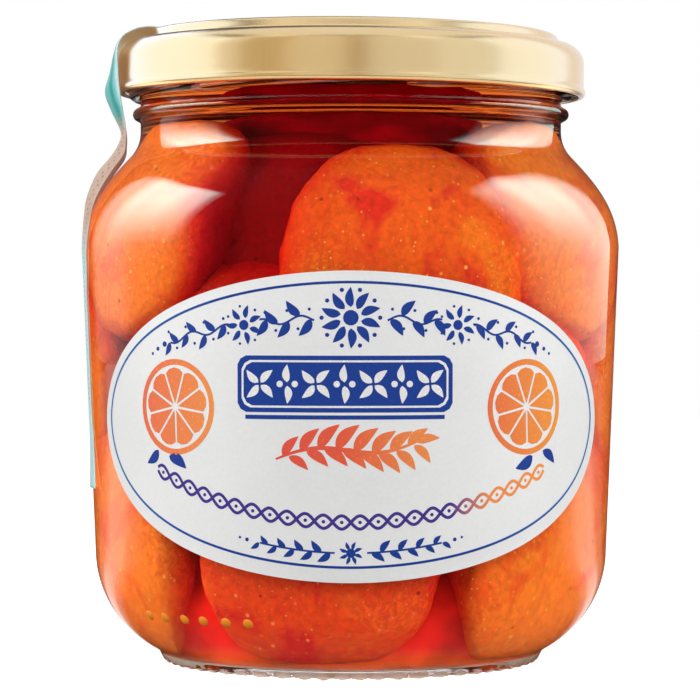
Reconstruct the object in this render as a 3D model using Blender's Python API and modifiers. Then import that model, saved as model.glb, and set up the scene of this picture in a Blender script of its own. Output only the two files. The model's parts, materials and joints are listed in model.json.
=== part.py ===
# A shut glass jar of small rum babas: the jar, its twist-off lid, the heap of babas inside,
# the oval paper label and the paper seal strip. Metres, +Z up. The origin is the centre of the
# base, where the jar stands, and the label faces -Y.

import math
import random

import bmesh
import bpy
from mathutils import Matrix, Vector

MM = 0.001
STEPS = 48  # sides of the turned jar and lid
MERGE = 0.00001

# Jar, outside
LIP_Z = 94.9 * MM
LIP_ROUND = 0.9 * MM
FINISH_R = 32.7 * MM
NECK_R = 32.7 * MM
BEAD_Z = 84.5 * MM
BEAD_R = 33.9 * MM
BEAD_HALF = 1.1 * MM
BEAD_ROUND = 0.9 * MM
NECK_BASE_Z = 81.8 * MM
NECK_FILLET = 5.6 * MM
SHOULDER_SLOPE = math.radians(43)  # from the vertical, where the shoulder meets the neck
SHOULDER_R = 41.65 * MM
SHOULDER_Z = 64.0 * MM
SHOULDER_PULL = (5.0 * MM, 6.4 * MM)  # the curve's handles, at the neck and at the body
BODY_LEAN = math.radians(2.4)
HEEL_R = 39.72 * MM
HEEL_Z = 16.4 * MM
HEEL_ARC = 16.84 * MM
HEEL_END = math.radians(62)  # how far the heel turns under
FOOT_R = 29.3 * MM
FOOT_ROUND = 0.4 * MM
FOOT_CORNER_R = 30.0 * MM
FOOT_CORNER_Z = 1.7 * MM
FOOT_INNER_R = 26.4 * MM
PUSH_UP_R = 22.5 * MM
PUSH_UP_Z = 1.5 * MM
PUSH_UP_CENTRE_Z = 2.6 * MM

# Jar, inside
WALL = 2.5 * MM
INNER_SHOULDER_PULL = (4.4 * MM, 5.4 * MM)
INNER_HEEL_ARC = 12.5 * MM
FLOOR_Z = 4.0 * MM
FLOOR_CENTRE_Z = 5.4 * MM

# Lid
LID_R = 36.2 * MM
LID_CURL_R = 36.5 * MM
LID_BASE_Z = 87.4 * MM
LID_TOP_Z = 97.0 * MM
LID_CORNER = 2.6 * MM
LID_SHEET = 0.6 * MM
LID_CURL_HALF = 0.75 * MM
LID_RIM_INNER_R = 30.6 * MM
LID_RIM_R = 32.0 * MM
LID_LEDGE_R = 32.7 * MM
LID_LEDGE_DROP = 1.0 * MM
LID_PANEL_R = 29.0 * MM
LID_PANEL_DROP = 0.7 * MM
LID_BUTTON_R = 12.0 * MM
LID_BUTTON_FOOT_R = 13.5 * MM
LID_BUTTON_RISE = 0.4 * MM
LID_LINER_R = 33.2 * MM
LID_UNDERSIDE_Z = 95.55 * MM
LID_TILT = math.radians(0.5)  # it sits a little lower on its +X side

# Paper label and seal strip
LABEL_WIDTH = 90.6 * MM
LABEL_HEIGHT = 44.6 * MM
LABEL_Z = 37.7 * MM
PAPER = 0.35 * MM
PAPER_GAP = 0.3 * MM
STRIP_WIDTH = 18.0 * MM
STRIP_AZIMUTH = math.radians(-86)  # from the label's middle round towards -X
STRIP_TOP_R = 23.0 * MM
STRIP_ACROSS = 6  # faces across its width

# The strip's free stretch, over the lid's edge and past the neck: radius and height in
# millimetres, and roundness, which is 1 where it follows the jar round and 0 where it is flat
STRIP_FREE = [
    (33.7, 97.1, 0.2),
    (35.8, 95.9, 0.4),
    (36.7, 94.0, 0.5),
    (37.4, 90.8, 1.2),
    (38.1, 88.0, 2.1),
    (37.2, 85.3, 1.6),
    (35.7, 82.0, 0.7),
    (35.9, 80.2, 0.9),
    (37.2, 78.0, 1.8),
    (39.4, 75.3, 2.2),
    (40.9, 71.8, 1.7),
    (41.4, 68.6, 1.2),
]
STRIP_GLUED_Z = (64.0, 52.0, 40.0, 27.0)

# Babas: a round cap on a narrower stem
CAP_R = 16.5 * MM
CAP_HEIGHT = 21.0 * MM
STEM_R = 10.4 * MM
STEM_END_R = 8.6 * MM
STEM_LENGTH = 14.0 * MM
STEM_ROUND = 2.2 * MM
CAP_FULLNESS = 0.8  # 1 is an even dome, and less is flatter on top
UNDERSIDE = math.radians(58)  # how far the cap curls under, past its widest
CORE_R = 20.5 * MM
CORE_END_R = 13.0 * MM
CORE_BASE_Z = 8.0 * MM
CORE_TOP_Z = 70.0 * MM
CORE_TAPER = 6.0 * MM
BABA_GAP = 0.5 * MM  # to the glass

# Where each baba lies: its cap's azimuth round from the label's middle towards +X (degrees), the
# cap's height and distance from the axis (millimetres), then how far the cap looks up and round
# from straight outwards (degrees)
BABAS = {
    "bottom_front": (-7, 22.5, 27.0, -4, 0),
    "bottom_right": (60, 22.5, 26.5, 4, 8),
    "bottom_back_right": (128, 22.0, 27.0, -6, -10),
    "bottom_back_left": (-152, 22.5, 27.0, 5, 12),
    "bottom_left": (-78, 23.0, 26.0, 0, -14),
    "middle_front_left": (-26, 43.5, 23.5, 30, 0),
    "middle_front_right": (43, 39.5, 26.0, -8, 10),
    "middle_right": (106, 42.0, 27.0, 12, 20),
    "middle_back": (-178, 42.0, 27.0, -10, 0),
    "middle_left": (-113, 41.0, 27.0, -14, -8),
    "top_front": (13, 60.5, 28.0, 8, 0),
    "top_right": (78, 60.5, 27.0, 16, 12),
    "top_back_right": (144, 61.5, 27.0, 14, -8),
    "top_back_left": (-143, 60.5, 27.5, 20, 14),
    "top_left": (-68, 61.5, 25.5, 14, -34),
}

COLOURS = {
    "glass_jar": ((0.80, 0.86, 0.84, 1.0), 0.05, 0.0),
    "lid": ((0.80, 0.62, 0.30, 1.0), 0.28, 1.0),
    "babas": ((0.80, 0.16, 0.03, 1.0), 0.55, 0.0),
    "label": ((0.82, 0.82, 0.81, 1.0), 0.6, 0.0),
    "seal_strip": ((0.45, 0.78, 0.75, 1.0), 0.5, 0.0),
}


def clear_scene():
    for thing in list(bpy.data.objects):
        bpy.data.objects.remove(thing, do_unlink=True)


def make_collection(name):
    group = bpy.data.collections.new(name)
    bpy.context.scene.collection.children.link(group)
    return group


def make_material(name):
    colour, roughness, metallic = COLOURS[name]
    material = bpy.data.materials.new(name)
    material.use_nodes = True
    shader = material.node_tree.nodes["Principled BSDF"]
    shader.inputs["Base Color"].default_value = colour
    shader.inputs["Roughness"].default_value = roughness
    shader.inputs["Metallic"].default_value = metallic
    return material


def arc(r, z, radius, start, end, count):
    """Points on an arc round (r, z), from one angle to another, both ends included."""
    points = []
    for i in range(count):
        angle = start + (end - start) * i / (count - 1)
        points.append((r + radius * math.cos(angle), z + radius * math.sin(angle)))
    return points


def bezier(a, b, c, d, count):
    """Points on a cubic curve, without its two ends."""
    points = []
    for i in range(1, count + 1):
        t = i / (count + 1)
        u = 1 - t
        weights = (u**3, 3 * u * u * t, 3 * u * t * t, t**3)
        r = sum(w * p[0] for w, p in zip(weights, (a, b, c, d)))
        z = sum(w * p[1] for w, p in zip(weights, (a, b, c, d)))
        points.append((r, z))
    return points


def shallow_dome(rim_r, rim_z, middle_z):
    """A dome's side, from its rim in to its middle."""
    halfway_z = rim_z + (middle_z - rim_z) * 0.75
    return [(rim_r, rim_z), (rim_r / 2, halfway_z), (0, middle_z)]


def shoulder(wall, handles, count):
    """The fillet under the neck, the shoulder's curve and its meeting with the body, going down."""
    fillet = NECK_FILLET + wall
    centre_r = NECK_R + NECK_FILLET
    inward = math.pi
    points = arc(centre_r, NECK_BASE_Z, fillet, inward, inward + SHOULDER_SLOPE, 4)
    top = points[-1]
    leave_pull, arrive_pull = handles
    down = (math.sin(SHOULDER_SLOPE), -math.cos(SHOULDER_SLOPE))
    foot = (SHOULDER_R - wall, SHOULDER_Z)
    leave = (top[0] + leave_pull * down[0], top[1] + leave_pull * down[1])
    arrive = (foot[0] - math.sin(BODY_LEAN) * arrive_pull, foot[1] + arrive_pull)
    return points + bezier(top, leave, arrive, foot, count) + [foot]


def outer_profile():
    """The jar's outer side, from the lip down to the middle of its base."""
    heel_r = HEEL_R - HEEL_ARC * math.cos(BODY_LEAN)
    heel_z = HEEL_Z + HEEL_ARC * math.sin(BODY_LEAN)
    points = arc(FINISH_R - LIP_ROUND, LIP_Z - LIP_ROUND, LIP_ROUND, math.pi / 2, 0, 3)
    points.append((FINISH_R, BEAD_Z + BEAD_HALF))
    points += arc(BEAD_R - BEAD_ROUND, BEAD_Z, BEAD_ROUND, math.pi / 3, -math.pi / 3, 4)
    points.append((NECK_R, BEAD_Z - BEAD_HALF))
    points += shoulder(0, SHOULDER_PULL, 6)
    points += arc(heel_r, heel_z, HEEL_ARC, -BODY_LEAN, -HEEL_END, 8)
    points.append((FOOT_CORNER_R, FOOT_CORNER_Z))
    points.append((FOOT_R, FOOT_ROUND))
    points.append((FOOT_R - FOOT_ROUND, 0))
    points.append((FOOT_INNER_R, 0))
    points += shallow_dome(PUSH_UP_R, PUSH_UP_Z, PUSH_UP_CENTRE_Z)
    return points


def inner_profile():
    """The jar's inner side, from the lip down to the middle of its floor."""
    mouth_r = NECK_R - WALL
    heel_r = HEEL_R - WALL - INNER_HEEL_ARC
    heel_z = FLOOR_Z + INNER_HEEL_ARC
    points = [(mouth_r + LIP_ROUND, LIP_Z), (mouth_r, LIP_Z - LIP_ROUND)]
    points += shoulder(WALL, INNER_SHOULDER_PULL, 4)
    points += arc(heel_r, heel_z, INNER_HEEL_ARC, 0, -math.pi / 2, 6)[:-1]
    points += shallow_dome(heel_r, FLOOR_Z, FLOOR_CENTRE_Z)
    return points


def radius_at(profile, z):
    """The radius of a side that runs down a profile, at one height."""
    for (r0, z0), (r1, z1) in zip(profile, profile[1:]):
        if z1 <= z <= z0 and z0 > z1:
            return r1 + (r0 - r1) * (z - z1) / (z0 - z1)
    return 0


def turned(name, points, steps, group, material):
    """A solid of revolution about Z. Its profile runs down the outer side, and ends on the axis."""
    mesh = bpy.data.meshes.new(name)
    vertices = [(r, 0, z) for r, z in points]
    edges = [(i, i + 1) for i in range(len(points) - 1)]
    mesh.from_pydata(vertices, edges, [])
    thing = bpy.data.objects.new(name, mesh)
    group.objects.link(thing)
    mesh.materials.append(material)
    screw = thing.modifiers.new("turn", "SCREW")
    screw.steps = steps
    screw.render_steps = steps
    screw.use_merge_vertices = True
    screw.merge_threshold = MERGE
    screw.use_smooth_shade = True
    return thing


def evaluated_mesh(thing):
    depsgraph = bpy.context.evaluated_depsgraph_get()
    return bpy.data.meshes.new_from_object(thing.evaluated_get(depsgraph))


def apply_modifiers(thing):
    mesh = evaluated_mesh(thing)
    thing.modifiers.clear()
    thing.data = mesh


def smooth_shading(thing, angle):
    thing.data.shade_smooth()
    thing.data.set_sharp_from_angle(angle=angle)


def make_jar(group):
    profile = list(reversed(inner_profile())) + outer_profile()
    return turned("glass_jar", profile, STEPS, group, make_material("glass_jar"))


def lid_profile():
    """From the middle of the lid's top, down the skirt, round the curl and back under the top."""
    ledge_z = LID_TOP_Z - LID_LEDGE_DROP
    panel_z = LID_TOP_Z - LID_PANEL_DROP
    curl_z = LID_BASE_Z + LID_CURL_HALF
    curl_r = LID_CURL_R - LID_CURL_HALF
    inner_r = LID_R - LID_SHEET
    points = [
        (0, panel_z + LID_BUTTON_RISE),
        (LID_BUTTON_R, panel_z + LID_BUTTON_RISE),
        (LID_BUTTON_FOOT_R, panel_z),
        (LID_PANEL_R, panel_z),
        (LID_RIM_INNER_R, LID_TOP_Z),
        (LID_RIM_R, LID_TOP_Z),
        (LID_LEDGE_R, ledge_z),
    ]
    points += arc(LID_R - LID_CORNER, ledge_z - LID_CORNER, LID_CORNER, math.pi / 2, 0, 4)
    points.append((LID_R, curl_z + LID_CURL_HALF))
    points += arc(curl_r, curl_z, LID_CURL_HALF, math.pi / 6, -math.pi * 1.1, 6)
    points.append((inner_r, curl_z + LID_CURL_HALF))
    points.append((inner_r, ledge_z - LID_CORNER))
    points.append((LID_LINER_R, LID_UNDERSIDE_Z))
    points.append((0, LID_UNDERSIDE_Z))
    return points


def make_lid(group):
    lid = turned("lid", lid_profile(), STEPS, group, make_material("lid"))
    middle = Vector((0, 0, LID_BASE_Z))
    tilt = Matrix.Rotation(LID_TILT, 4, "Y")
    lid.matrix_world = Matrix.Translation(middle) @ tilt @ Matrix.Translation(-middle)
    return lid


def baba_profile():
    """A full round cap with its rolled underside, then the tapering stem, down the Z axis."""
    half = CAP_HEIGHT / 2
    dome = arc(0, 0, 1, math.pi / 2, -UNDERSIDE, 8)
    points = [(abs(r) ** CAP_FULLNESS * CAP_R, z * half) for r, z in dome]
    points[0] = (0, half)
    stem_top = points[-1][1]
    stem_end = stem_top - STEM_LENGTH
    points.append((STEM_R, stem_top))
    points.append((STEM_END_R, stem_end + STEM_ROUND))
    points.append((STEM_END_R - STEM_ROUND, stem_end))
    points.append((0, stem_end))
    return points


def press_to_glass(mesh, side):
    """Flattens what would reach past the glass or its floor, as the soft cakes do."""
    for vertex in mesh.vertices:
        x, y, z = vertex.co
        z = max(z, FLOOR_CENTRE_Z + BABA_GAP)
        vertex.co.z = z
        reach = math.hypot(x, y)
        most = radius_at(side, z) - BABA_GAP
        if reach > most > 0:
            vertex.co = (x * most / reach, y * most / reach, z)


def make_babas(group):
    """The whole heap: a barrel that nothing shows of, with every baba fused on."""
    material = make_material("babas")
    heap = make_collection("heap")
    draw = random.Random(7)
    pattern = turned("pattern", baba_profile(), 14, heap, material)
    shape = evaluated_mesh(pattern)
    bpy.data.objects.remove(pattern, do_unlink=True)
    side = inner_profile()
    for name, (azimuth, height, reach, look_up, look_round) in BABAS.items():
        baba = bpy.data.objects.new(name, shape.copy())
        heap.objects.link(baba)
        turn = math.radians(azimuth)
        place = Vector((math.sin(turn), -math.cos(turn), 0)) * reach * MM
        place.z = height * MM
        turn += math.radians(look_round)
        tilt = math.radians(look_up)
        axis = Vector((math.sin(turn), -math.cos(turn), math.tan(tilt)))
        spin = Matrix.Rotation(draw.uniform(0, math.tau), 4, "Z")
        swell = Matrix.Diagonal((draw.uniform(0.95, 1.03), draw.uniform(0.95, 1.03), 1, 1))
        facing = axis.to_track_quat("Z", "Y").to_matrix().to_4x4()
        baba.data.transform(Matrix.Translation(place) @ facing @ spin @ swell)
        press_to_glass(baba.data, side)
    core_points = [
        (0, CORE_TOP_Z),
        (CORE_END_R, CORE_TOP_Z),
        (CORE_R, CORE_TOP_Z - CORE_TAPER),
        (CORE_R, CORE_BASE_Z + CORE_TAPER),
        (CORE_END_R, CORE_BASE_Z),
        (0, CORE_BASE_Z),
    ]
    core = turned("babas", core_points, 20, group, material)
    fuse = core.modifiers.new("fuse", "BOOLEAN")
    fuse.operation = "UNION"
    fuse.operand_type = "COLLECTION"
    fuse.collection = heap
    fuse.solver = "EXACT"
    apply_modifiers(core)
    for baba in list(heap.objects):
        bpy.data.objects.remove(baba, do_unlink=True)
    bpy.data.collections.remove(heap)
    smooth_shading(core, math.radians(40))
    return core


def solidify(thing, thickness, offset):
    wall = thing.modifiers.new("thickness", "SOLIDIFY")
    wall.thickness = thickness
    wall.offset = offset
    wall.use_even_offset = True
    wall.use_quality_normals = True


def make_label(group):
    """A flat oval rolled on the body."""
    side = outer_profile()
    mesh = bpy.data.meshes.new("label")
    sheet = bmesh.new()
    bmesh.ops.create_grid(sheet, x_segments=20, y_segments=8, size=1)
    for vertex in sheet.verts:
        u, v, _ = vertex.co
        across = u * math.sqrt(1 - v * v / 2) * LABEL_WIDTH / 2
        up = v * math.sqrt(1 - u * u / 2) * LABEL_HEIGHT / 2
        z = LABEL_Z + up
        radius = radius_at(side, z) + PAPER_GAP
        angle = across / radius
        vertex.co = (radius * math.sin(angle), -radius * math.cos(angle), z)
    sheet.to_mesh(mesh)
    sheet.free()
    label = bpy.data.objects.new("label", mesh)
    group.objects.link(label)
    mesh.materials.append(make_material("label"))
    mesh.shade_smooth()
    solidify(label, PAPER, 1)
    return label


def strip_route():
    """The seal strip's way down, as (radius, height, roundness) of its inner face: flat on the
    lid, bowed where it crosses the neck free of the glass, then glued on the body."""
    lid_z = LID_TOP_Z + LID_RIM_R * math.sin(LID_TILT) + PAPER_GAP
    side = outer_profile()
    route = [(STRIP_TOP_R, lid_z, 0.0), (LID_RIM_INNER_R, lid_z, 0.0)]
    for radius, z, roundness in STRIP_FREE:
        route.append((radius * MM, z * MM, roundness))
    for z in STRIP_GLUED_Z:
        route.append((radius_at(side, z * MM) + PAPER_GAP, z * MM, 1.0))
    return route


def make_strip(group):
    """A paper ribbon laid along its route."""
    route = strip_route()
    across = [STRIP_WIDTH * (i / STRIP_ACROSS - 0.5) for i in range(STRIP_ACROSS + 1)]
    mesh = bpy.data.meshes.new("seal_strip")
    ribbon = bmesh.new()
    outward = Vector((math.sin(STRIP_AZIMUTH), -math.cos(STRIP_AZIMUTH), 0))
    sideways = Vector((0, 0, 1)).cross(outward)
    rows = []
    for radius, z, roundness in route:
        row = []
        for offset in across:
            drop = roundness * (radius - math.sqrt(radius * radius - offset * offset))
            place = outward * (radius - drop) + sideways * offset
            row.append(ribbon.verts.new((place.x, place.y, z)))
        rows.append(row)
    for upper, lower in zip(rows, rows[1:]):
        for i in range(STRIP_ACROSS):
            ribbon.faces.new((upper[i], lower[i], lower[i + 1], upper[i + 1]))
    ribbon.to_mesh(mesh)
    ribbon.free()
    strip = bpy.data.objects.new("seal_strip", mesh)
    group.objects.link(strip)
    mesh.materials.append(make_material("seal_strip"))
    mesh.shade_smooth()
    solidify(strip, PAPER, 1)
    return strip


clear_scene()
parts = make_collection("baba_jar")
jar = make_jar(parts)
lid = make_lid(parts)
babas = make_babas(parts)
label = make_label(parts)
strip = make_strip(parts)
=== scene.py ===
import json
import math
import random

import bmesh
import bpy
import numpy as np
from mathutils import Matrix, Vector, noise

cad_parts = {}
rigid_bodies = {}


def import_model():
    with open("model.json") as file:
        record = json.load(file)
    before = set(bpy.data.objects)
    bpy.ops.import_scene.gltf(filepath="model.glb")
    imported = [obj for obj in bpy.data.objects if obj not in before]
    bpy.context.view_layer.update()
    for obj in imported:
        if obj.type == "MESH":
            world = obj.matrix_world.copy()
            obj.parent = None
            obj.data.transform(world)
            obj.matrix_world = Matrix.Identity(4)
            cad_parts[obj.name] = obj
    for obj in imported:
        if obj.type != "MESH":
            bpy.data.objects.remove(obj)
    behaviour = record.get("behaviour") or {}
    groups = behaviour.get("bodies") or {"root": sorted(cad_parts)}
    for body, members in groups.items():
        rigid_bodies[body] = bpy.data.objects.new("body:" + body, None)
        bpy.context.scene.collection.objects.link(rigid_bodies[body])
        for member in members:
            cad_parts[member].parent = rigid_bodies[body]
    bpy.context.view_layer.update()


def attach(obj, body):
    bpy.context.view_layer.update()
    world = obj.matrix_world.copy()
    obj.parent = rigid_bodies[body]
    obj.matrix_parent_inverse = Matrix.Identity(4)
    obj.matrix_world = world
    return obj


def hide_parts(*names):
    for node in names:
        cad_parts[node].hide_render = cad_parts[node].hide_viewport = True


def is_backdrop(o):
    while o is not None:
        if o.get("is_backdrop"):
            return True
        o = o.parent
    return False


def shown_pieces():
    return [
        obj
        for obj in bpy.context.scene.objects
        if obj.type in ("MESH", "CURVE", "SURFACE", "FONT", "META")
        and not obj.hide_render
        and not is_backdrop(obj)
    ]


# A shut glass jar of small rum babas in syrup. The label faces -Y and the seal strip is at -X.
# Sizes are in millimetres until a mesh is made, angles in degrees unless they are called turns,
# and an azimuth runs from the label's middle round towards +X.
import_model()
mm = 0.001
sceneObjects = bpy.context.scene.collection.objects


# Profiles and meshes


def arc(r, z, radius, start, end, count):
    turns = np.radians(np.linspace(start, end, count))
    return [(r + radius * math.cos(t), z + radius * math.sin(t)) for t in turns]


def bend(a, b, c, d, count):  # a cubic curve's points, without its ends
    points = []
    for t in np.linspace(0, 1, count + 2)[1:-1]:
        weights = ((1 - t) ** 3, 3 * t * (1 - t) ** 2, 3 * t * t * (1 - t), t**3)
        points.append(tuple(sum(w * p[i] for w, p in zip(weights, (a, b, c, d))) for i in (0, 1)))
    return points


def straight(a, b, count):  # points between two ends, without them
    steps = np.linspace(0, 1, count + 2)[1:-1]
    return [(a[0] + (b[0] - a[0]) * t, a[1] + (b[1] - a[1]) * t) for t in steps]


def evenly(points, count):  # the same line with evenly spaced points
    line = np.array(points, float)
    along = np.concatenate([[0], np.cumsum(np.linalg.norm(np.diff(line, axis=0), axis=1))])
    at = np.linspace(0, along[-1], count)
    return np.stack([np.interp(at, along, line[:, i]) for i in range(line.shape[1])], axis=1)


def roundAxis(turn, r, z):  # the point at this turn from the label's middle
    return (r * math.sin(turn), -r * math.cos(turn), z)


def placed(name, data):
    thing = bpy.data.objects.new(name, data)
    sceneObjects.link(thing)
    return thing


def meshObject(name, vertices, faces, *materials):
    mesh = bpy.data.meshes.new(name)
    mesh.from_pydata((np.asarray(vertices, float) * mm).tolist(), [], faces)
    mesh.validate()
    for material in materials:
        mesh.materials.append(material)
    mesh.shade_smooth()
    return placed(name, mesh)


def turnedFaces(rows):
    faces = []
    for upper, lower in zip(rows, rows[1:]):
        for i in range(len(upper)):
            j = (i + 1) % len(upper)
            faces.append(list(dict.fromkeys([upper[i], lower[i], lower[j], upper[j]])))
    return faces


def turned(name, profile, steps, *materials, shape=None):
    # A solid of revolution. Its profile runs down its outer side, from axis to axis.
    vertices, rows = [], []
    for r, z in profile:
        if r < 1e-6:
            rows.append([len(vertices)] * steps)
            vertices.append((0, 0, z))
            continue
        rows.append(list(range(len(vertices), len(vertices) + steps)))
        for i in range(steps):
            turn = math.tau * i / steps
            vertices.append(roundAxis(turn, *(shape(r, z, turn) if shape else (r, z))))
    return meshObject(name, vertices, turnedFaces(rows), *materials)


def mark(thing, name, values, kind="FLOAT"):  # a value at each point of a mesh
    attribute = thing.data.attributes.new(name, kind, "POINT")
    attribute.data.foreach_set("value" if kind == "FLOAT" else "vector", values)


def unwrap(thing, spots):  # a UV map with a spot for each point
    layer = thing.data.uv_layers.new(name="UVMap")
    for loop in thing.data.loops:
        layer.data[loop.index].uv = spots[loop.vertex_index]


def dress(piece, node):
    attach(piece, "root")
    if node:
        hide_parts(node)


# Node trees


def fill(tree, node, inputs):  # each input takes a link, a number or a colour
    for key, value in inputs.items():
        socket = node.inputs[key]
        if isinstance(value, bpy.types.NodeSocket):
            tree.links.new(value, socket)
        else:
            socket.default_value = (*value, 1) if socket.type == "RGBA" else value
    return node


def newNode(tree, kind, inputs=None, **settings):
    node = tree.nodes.new(kind)
    for key, value in settings.items():
        setattr(node, key, value)
    return fill(tree, node, inputs or {})


def newMaterial(name, inputs):
    material = bpy.data.materials.new(name)
    material.use_nodes = True
    tree = material.node_tree
    return material, tree, fill(tree, tree.nodes["Principled BSDF"], inputs)


def maths(tree, operation, *values):
    inputs = dict(enumerate(values))
    return newNode(tree, "ShaderNodeMath", inputs, operation=operation).outputs[0]


def spread(tree, value, low, high, start=0.0, end=1.0):  # low to high becomes start to end
    inputs = dict(enumerate((value, low, high, start, end)))
    return newNode(tree, "ShaderNodeMapRange", inputs).outputs[0]


def ramp(tree, factor, stops, mode="LINEAR"):
    node = newNode(tree, "ShaderNodeValToRGB", {0: factor})
    node.color_ramp.interpolation = mode
    while len(node.color_ramp.elements) < len(stops):
        node.color_ramp.elements.new(0.5)
    for element, (position, colour) in zip(node.color_ramp.elements, stops):
        element.position = position
        element.color = (*(colour if isinstance(colour, tuple) else (colour,) * 3), 1)
    return node.outputs[0]


def mixColours(tree, factor, a, b, how="MIX"):
    inputs = {0: factor, 6: a, 7: b}
    return newNode(tree, "ShaderNodeMix", inputs, data_type="RGBA", blend_type=how).outputs[2]


def coordinates(tree, kind="Object"):
    return newNode(tree, "ShaderNodeTexCoord").outputs[kind]


def partsOf(tree, vector):
    return newNode(tree, "ShaderNodeSeparateXYZ", {0: vector}).outputs


def mapped(tree, vector, **how):
    return newNode(tree, "ShaderNodeMapping", {"Vector": vector, **how}).outputs[0]


def valueOf(tree, name):  # what mark() wrote at each point
    return newNode(tree, "ShaderNodeAttribute", attribute_name=name).outputs["Fac"]


def noiseOn(tree, vector, scale, detail=2.0, roughness=0.5, distortion=0.0):
    inputs = {"Vector": vector, "Scale": scale, "Detail": detail}
    inputs |= {"Roughness": roughness, "Distortion": distortion}
    return newNode(tree, "ShaderNodeTexNoise", inputs).outputs["Fac"]


def bumpOn(tree, height, strength, distance, **below):
    inputs = {"Height": height, "Strength": strength, "Distance": distance, **below}
    return newNode(tree, "ShaderNodeBump", inputs).outputs["Normal"]


# The jar's two sides, as in the CAD

jar = {
    "lipZ": 94.9,
    "lipRound": 0.9,
    "neckR": 32.7,
    "beadZ": 84.5,
    "beadR": 33.9,
    "beadHalf": 1.1,
    "beadRound": 0.9,
    "neckBaseZ": 81.8,
    "neckFillet": 5.6,
    "shoulderSlope": 43,  # from the vertical, where the shoulder meets the neck
    "shoulderR": 41.65,
    "shoulderZ": 64.0,
    "shoulderPull": (5.0, 6.4),
    "innerPull": (4.4, 5.4),
    "bodyLean": 2.4,
    "heelR": 39.72,
    "heelZ": 16.4,
    "heelArc": 16.84,
    "heelEnd": 62,
    "footR": 29.3,
    "footRound": 0.35,
    "footCorner": (30.0, 1.7),
    "footInnerR": 26.4,
    "pushUp": (22.5, 1.5, 2.6),  # radius, rim height, middle height
    "wall": 2.5,
    "innerHeelArc": 14.5,
    "floorZ": 2.2,
    "floorMiddleZ": 3.7,
    "steps": 360,
    "knurls": 60,
    "knurlTop": 1.0,
    "knurlDepth": 0.10,
    "knurlLift": 0.26,
}


def dome(rimR, rimZ, middleZ, count):  # from the rim in to the axis
    turns = np.linspace(0, math.pi / 2, count)[:-1]
    rise = middleZ - rimZ
    return [(rimR * math.cos(t), rimZ + rise * math.sin(t)) for t in turns] + [(0, middleZ)]


def shoulderPoints(wall, pulls):
    slope, lean = math.radians(jar["shoulderSlope"]), math.radians(jar["bodyLean"])
    centre = (jar["neckR"] + jar["neckFillet"], jar["neckBaseZ"])
    points = arc(*centre, jar["neckFillet"] + wall, 180, 180 + jar["shoulderSlope"], 14)
    top, foot = points[-1], (jar["shoulderR"] - wall, jar["shoulderZ"])
    leave = (top[0] + pulls[0] * math.sin(slope), top[1] - pulls[0] * math.cos(slope))
    arrive = (foot[0] - math.sin(lean) * pulls[1], foot[1] + pulls[1])
    return points + bend(top, leave, arrive, foot, 26) + [foot]


def outerSide():  # from the lip down to the foot's corner
    j = jar
    lean = math.radians(j["bodyLean"])
    points = arc(j["neckR"] - j["lipRound"], j["lipZ"] - j["lipRound"], j["lipRound"], 90, 0, 6)
    points += straight(points[-1], (j["neckR"], j["beadZ"] + j["beadHalf"]), 4)
    points += [(j["neckR"], j["beadZ"] + j["beadHalf"] + 0.15)]
    points += arc(j["beadR"] - j["beadRound"], j["beadZ"], j["beadRound"], 75, -75, 12)
    points += [(j["neckR"], j["beadZ"] - j["beadHalf"] - 0.15)]
    points += shoulderPoints(0, j["shoulderPull"])
    points += straight(points[-1], (j["heelR"], j["heelZ"]), 16)
    arcR, arcZ = j["heelArc"] * math.cos(lean), j["heelArc"] * math.sin(lean)
    centre = (j["heelR"] - arcR, j["heelZ"] + arcZ)
    points += arc(*centre, j["heelArc"], -j["bodyLean"], -j["heelEnd"], 30)
    return points + straight(points[-1], j["footCorner"], 2) + [j["footCorner"]]


def innerSide():  # from the lip down to the floor's middle
    j = jar
    mouth = j["neckR"] - j["wall"]
    points = arc(mouth + j["lipRound"], j["lipZ"] - j["lipRound"], j["lipRound"], 90, 180, 5)
    points += shoulderPoints(j["wall"], j["innerPull"])
    heelR = j["heelR"] - j["wall"] - j["innerHeelArc"]
    heelZ = j["floorZ"] + j["innerHeelArc"]
    points += straight(points[-1], (heelR + j["innerHeelArc"], heelZ), 14)
    points += arc(heelR, heelZ, j["innerHeelArc"], 0, -90, 22)[:-1]
    return points + dome(heelR, j["floorZ"], j["floorMiddleZ"], 10)


outer, inner = np.array(outerSide()), np.array(innerSide())


def radiusOn(side, z):
    return np.interp(z, side[::-1, 1], side[::-1, 0])


def footProfile():  # from the foot's corner under to the base's middle
    footR, small, inside = jar["footR"], jar["footRound"], (jar["footInnerR"], 0)
    points = bend(jar["footCorner"], (footR + 0.5, 1.2), (footR + 0.1, 0.5), (footR, small), 4)
    points += arc(footR - small, small, small, 0, -90, 4)
    points += straight(points[-1], inside, 3) + [inside]
    return points + straight(inside, jar["pushUp"][:2], 3) + dome(*jar["pushUp"], 8)


def footShape(r, z, turn):  # small crescents pressed into the standing ring
    if z > jar["knurlTop"] or r < jar["footInnerR"] - 0.3:
        return r, z
    ripple = 0.5 + 0.5 * math.cos(jar["knurls"] * turn + 1.3 * math.sin(7 * turn))
    fade = (jar["knurlTop"] - z) / jar["knurlTop"]
    return r - jar["knurlDepth"] * ripple * fade, z + jar["knurlLift"] * ripple * fade**2


# Glass and syrup

glassLook = {
    "glassIor": 1.5,
    "syrupIor": 1.4,
    "glassTint": (0.985, 0.99, 0.985),
    "absorbed": (6.0, 38.0, 74.0),  # per metre of red, green and blue
    "sinkIntoWall": 0.15,
    "sinkIntoFloor": 12,  # below this height
    "fillZ": 94.2,
    "wetMargins": (0.6, 0.1, 0.5),  # beside the inner side, below the floor, off the push-up
}


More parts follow.
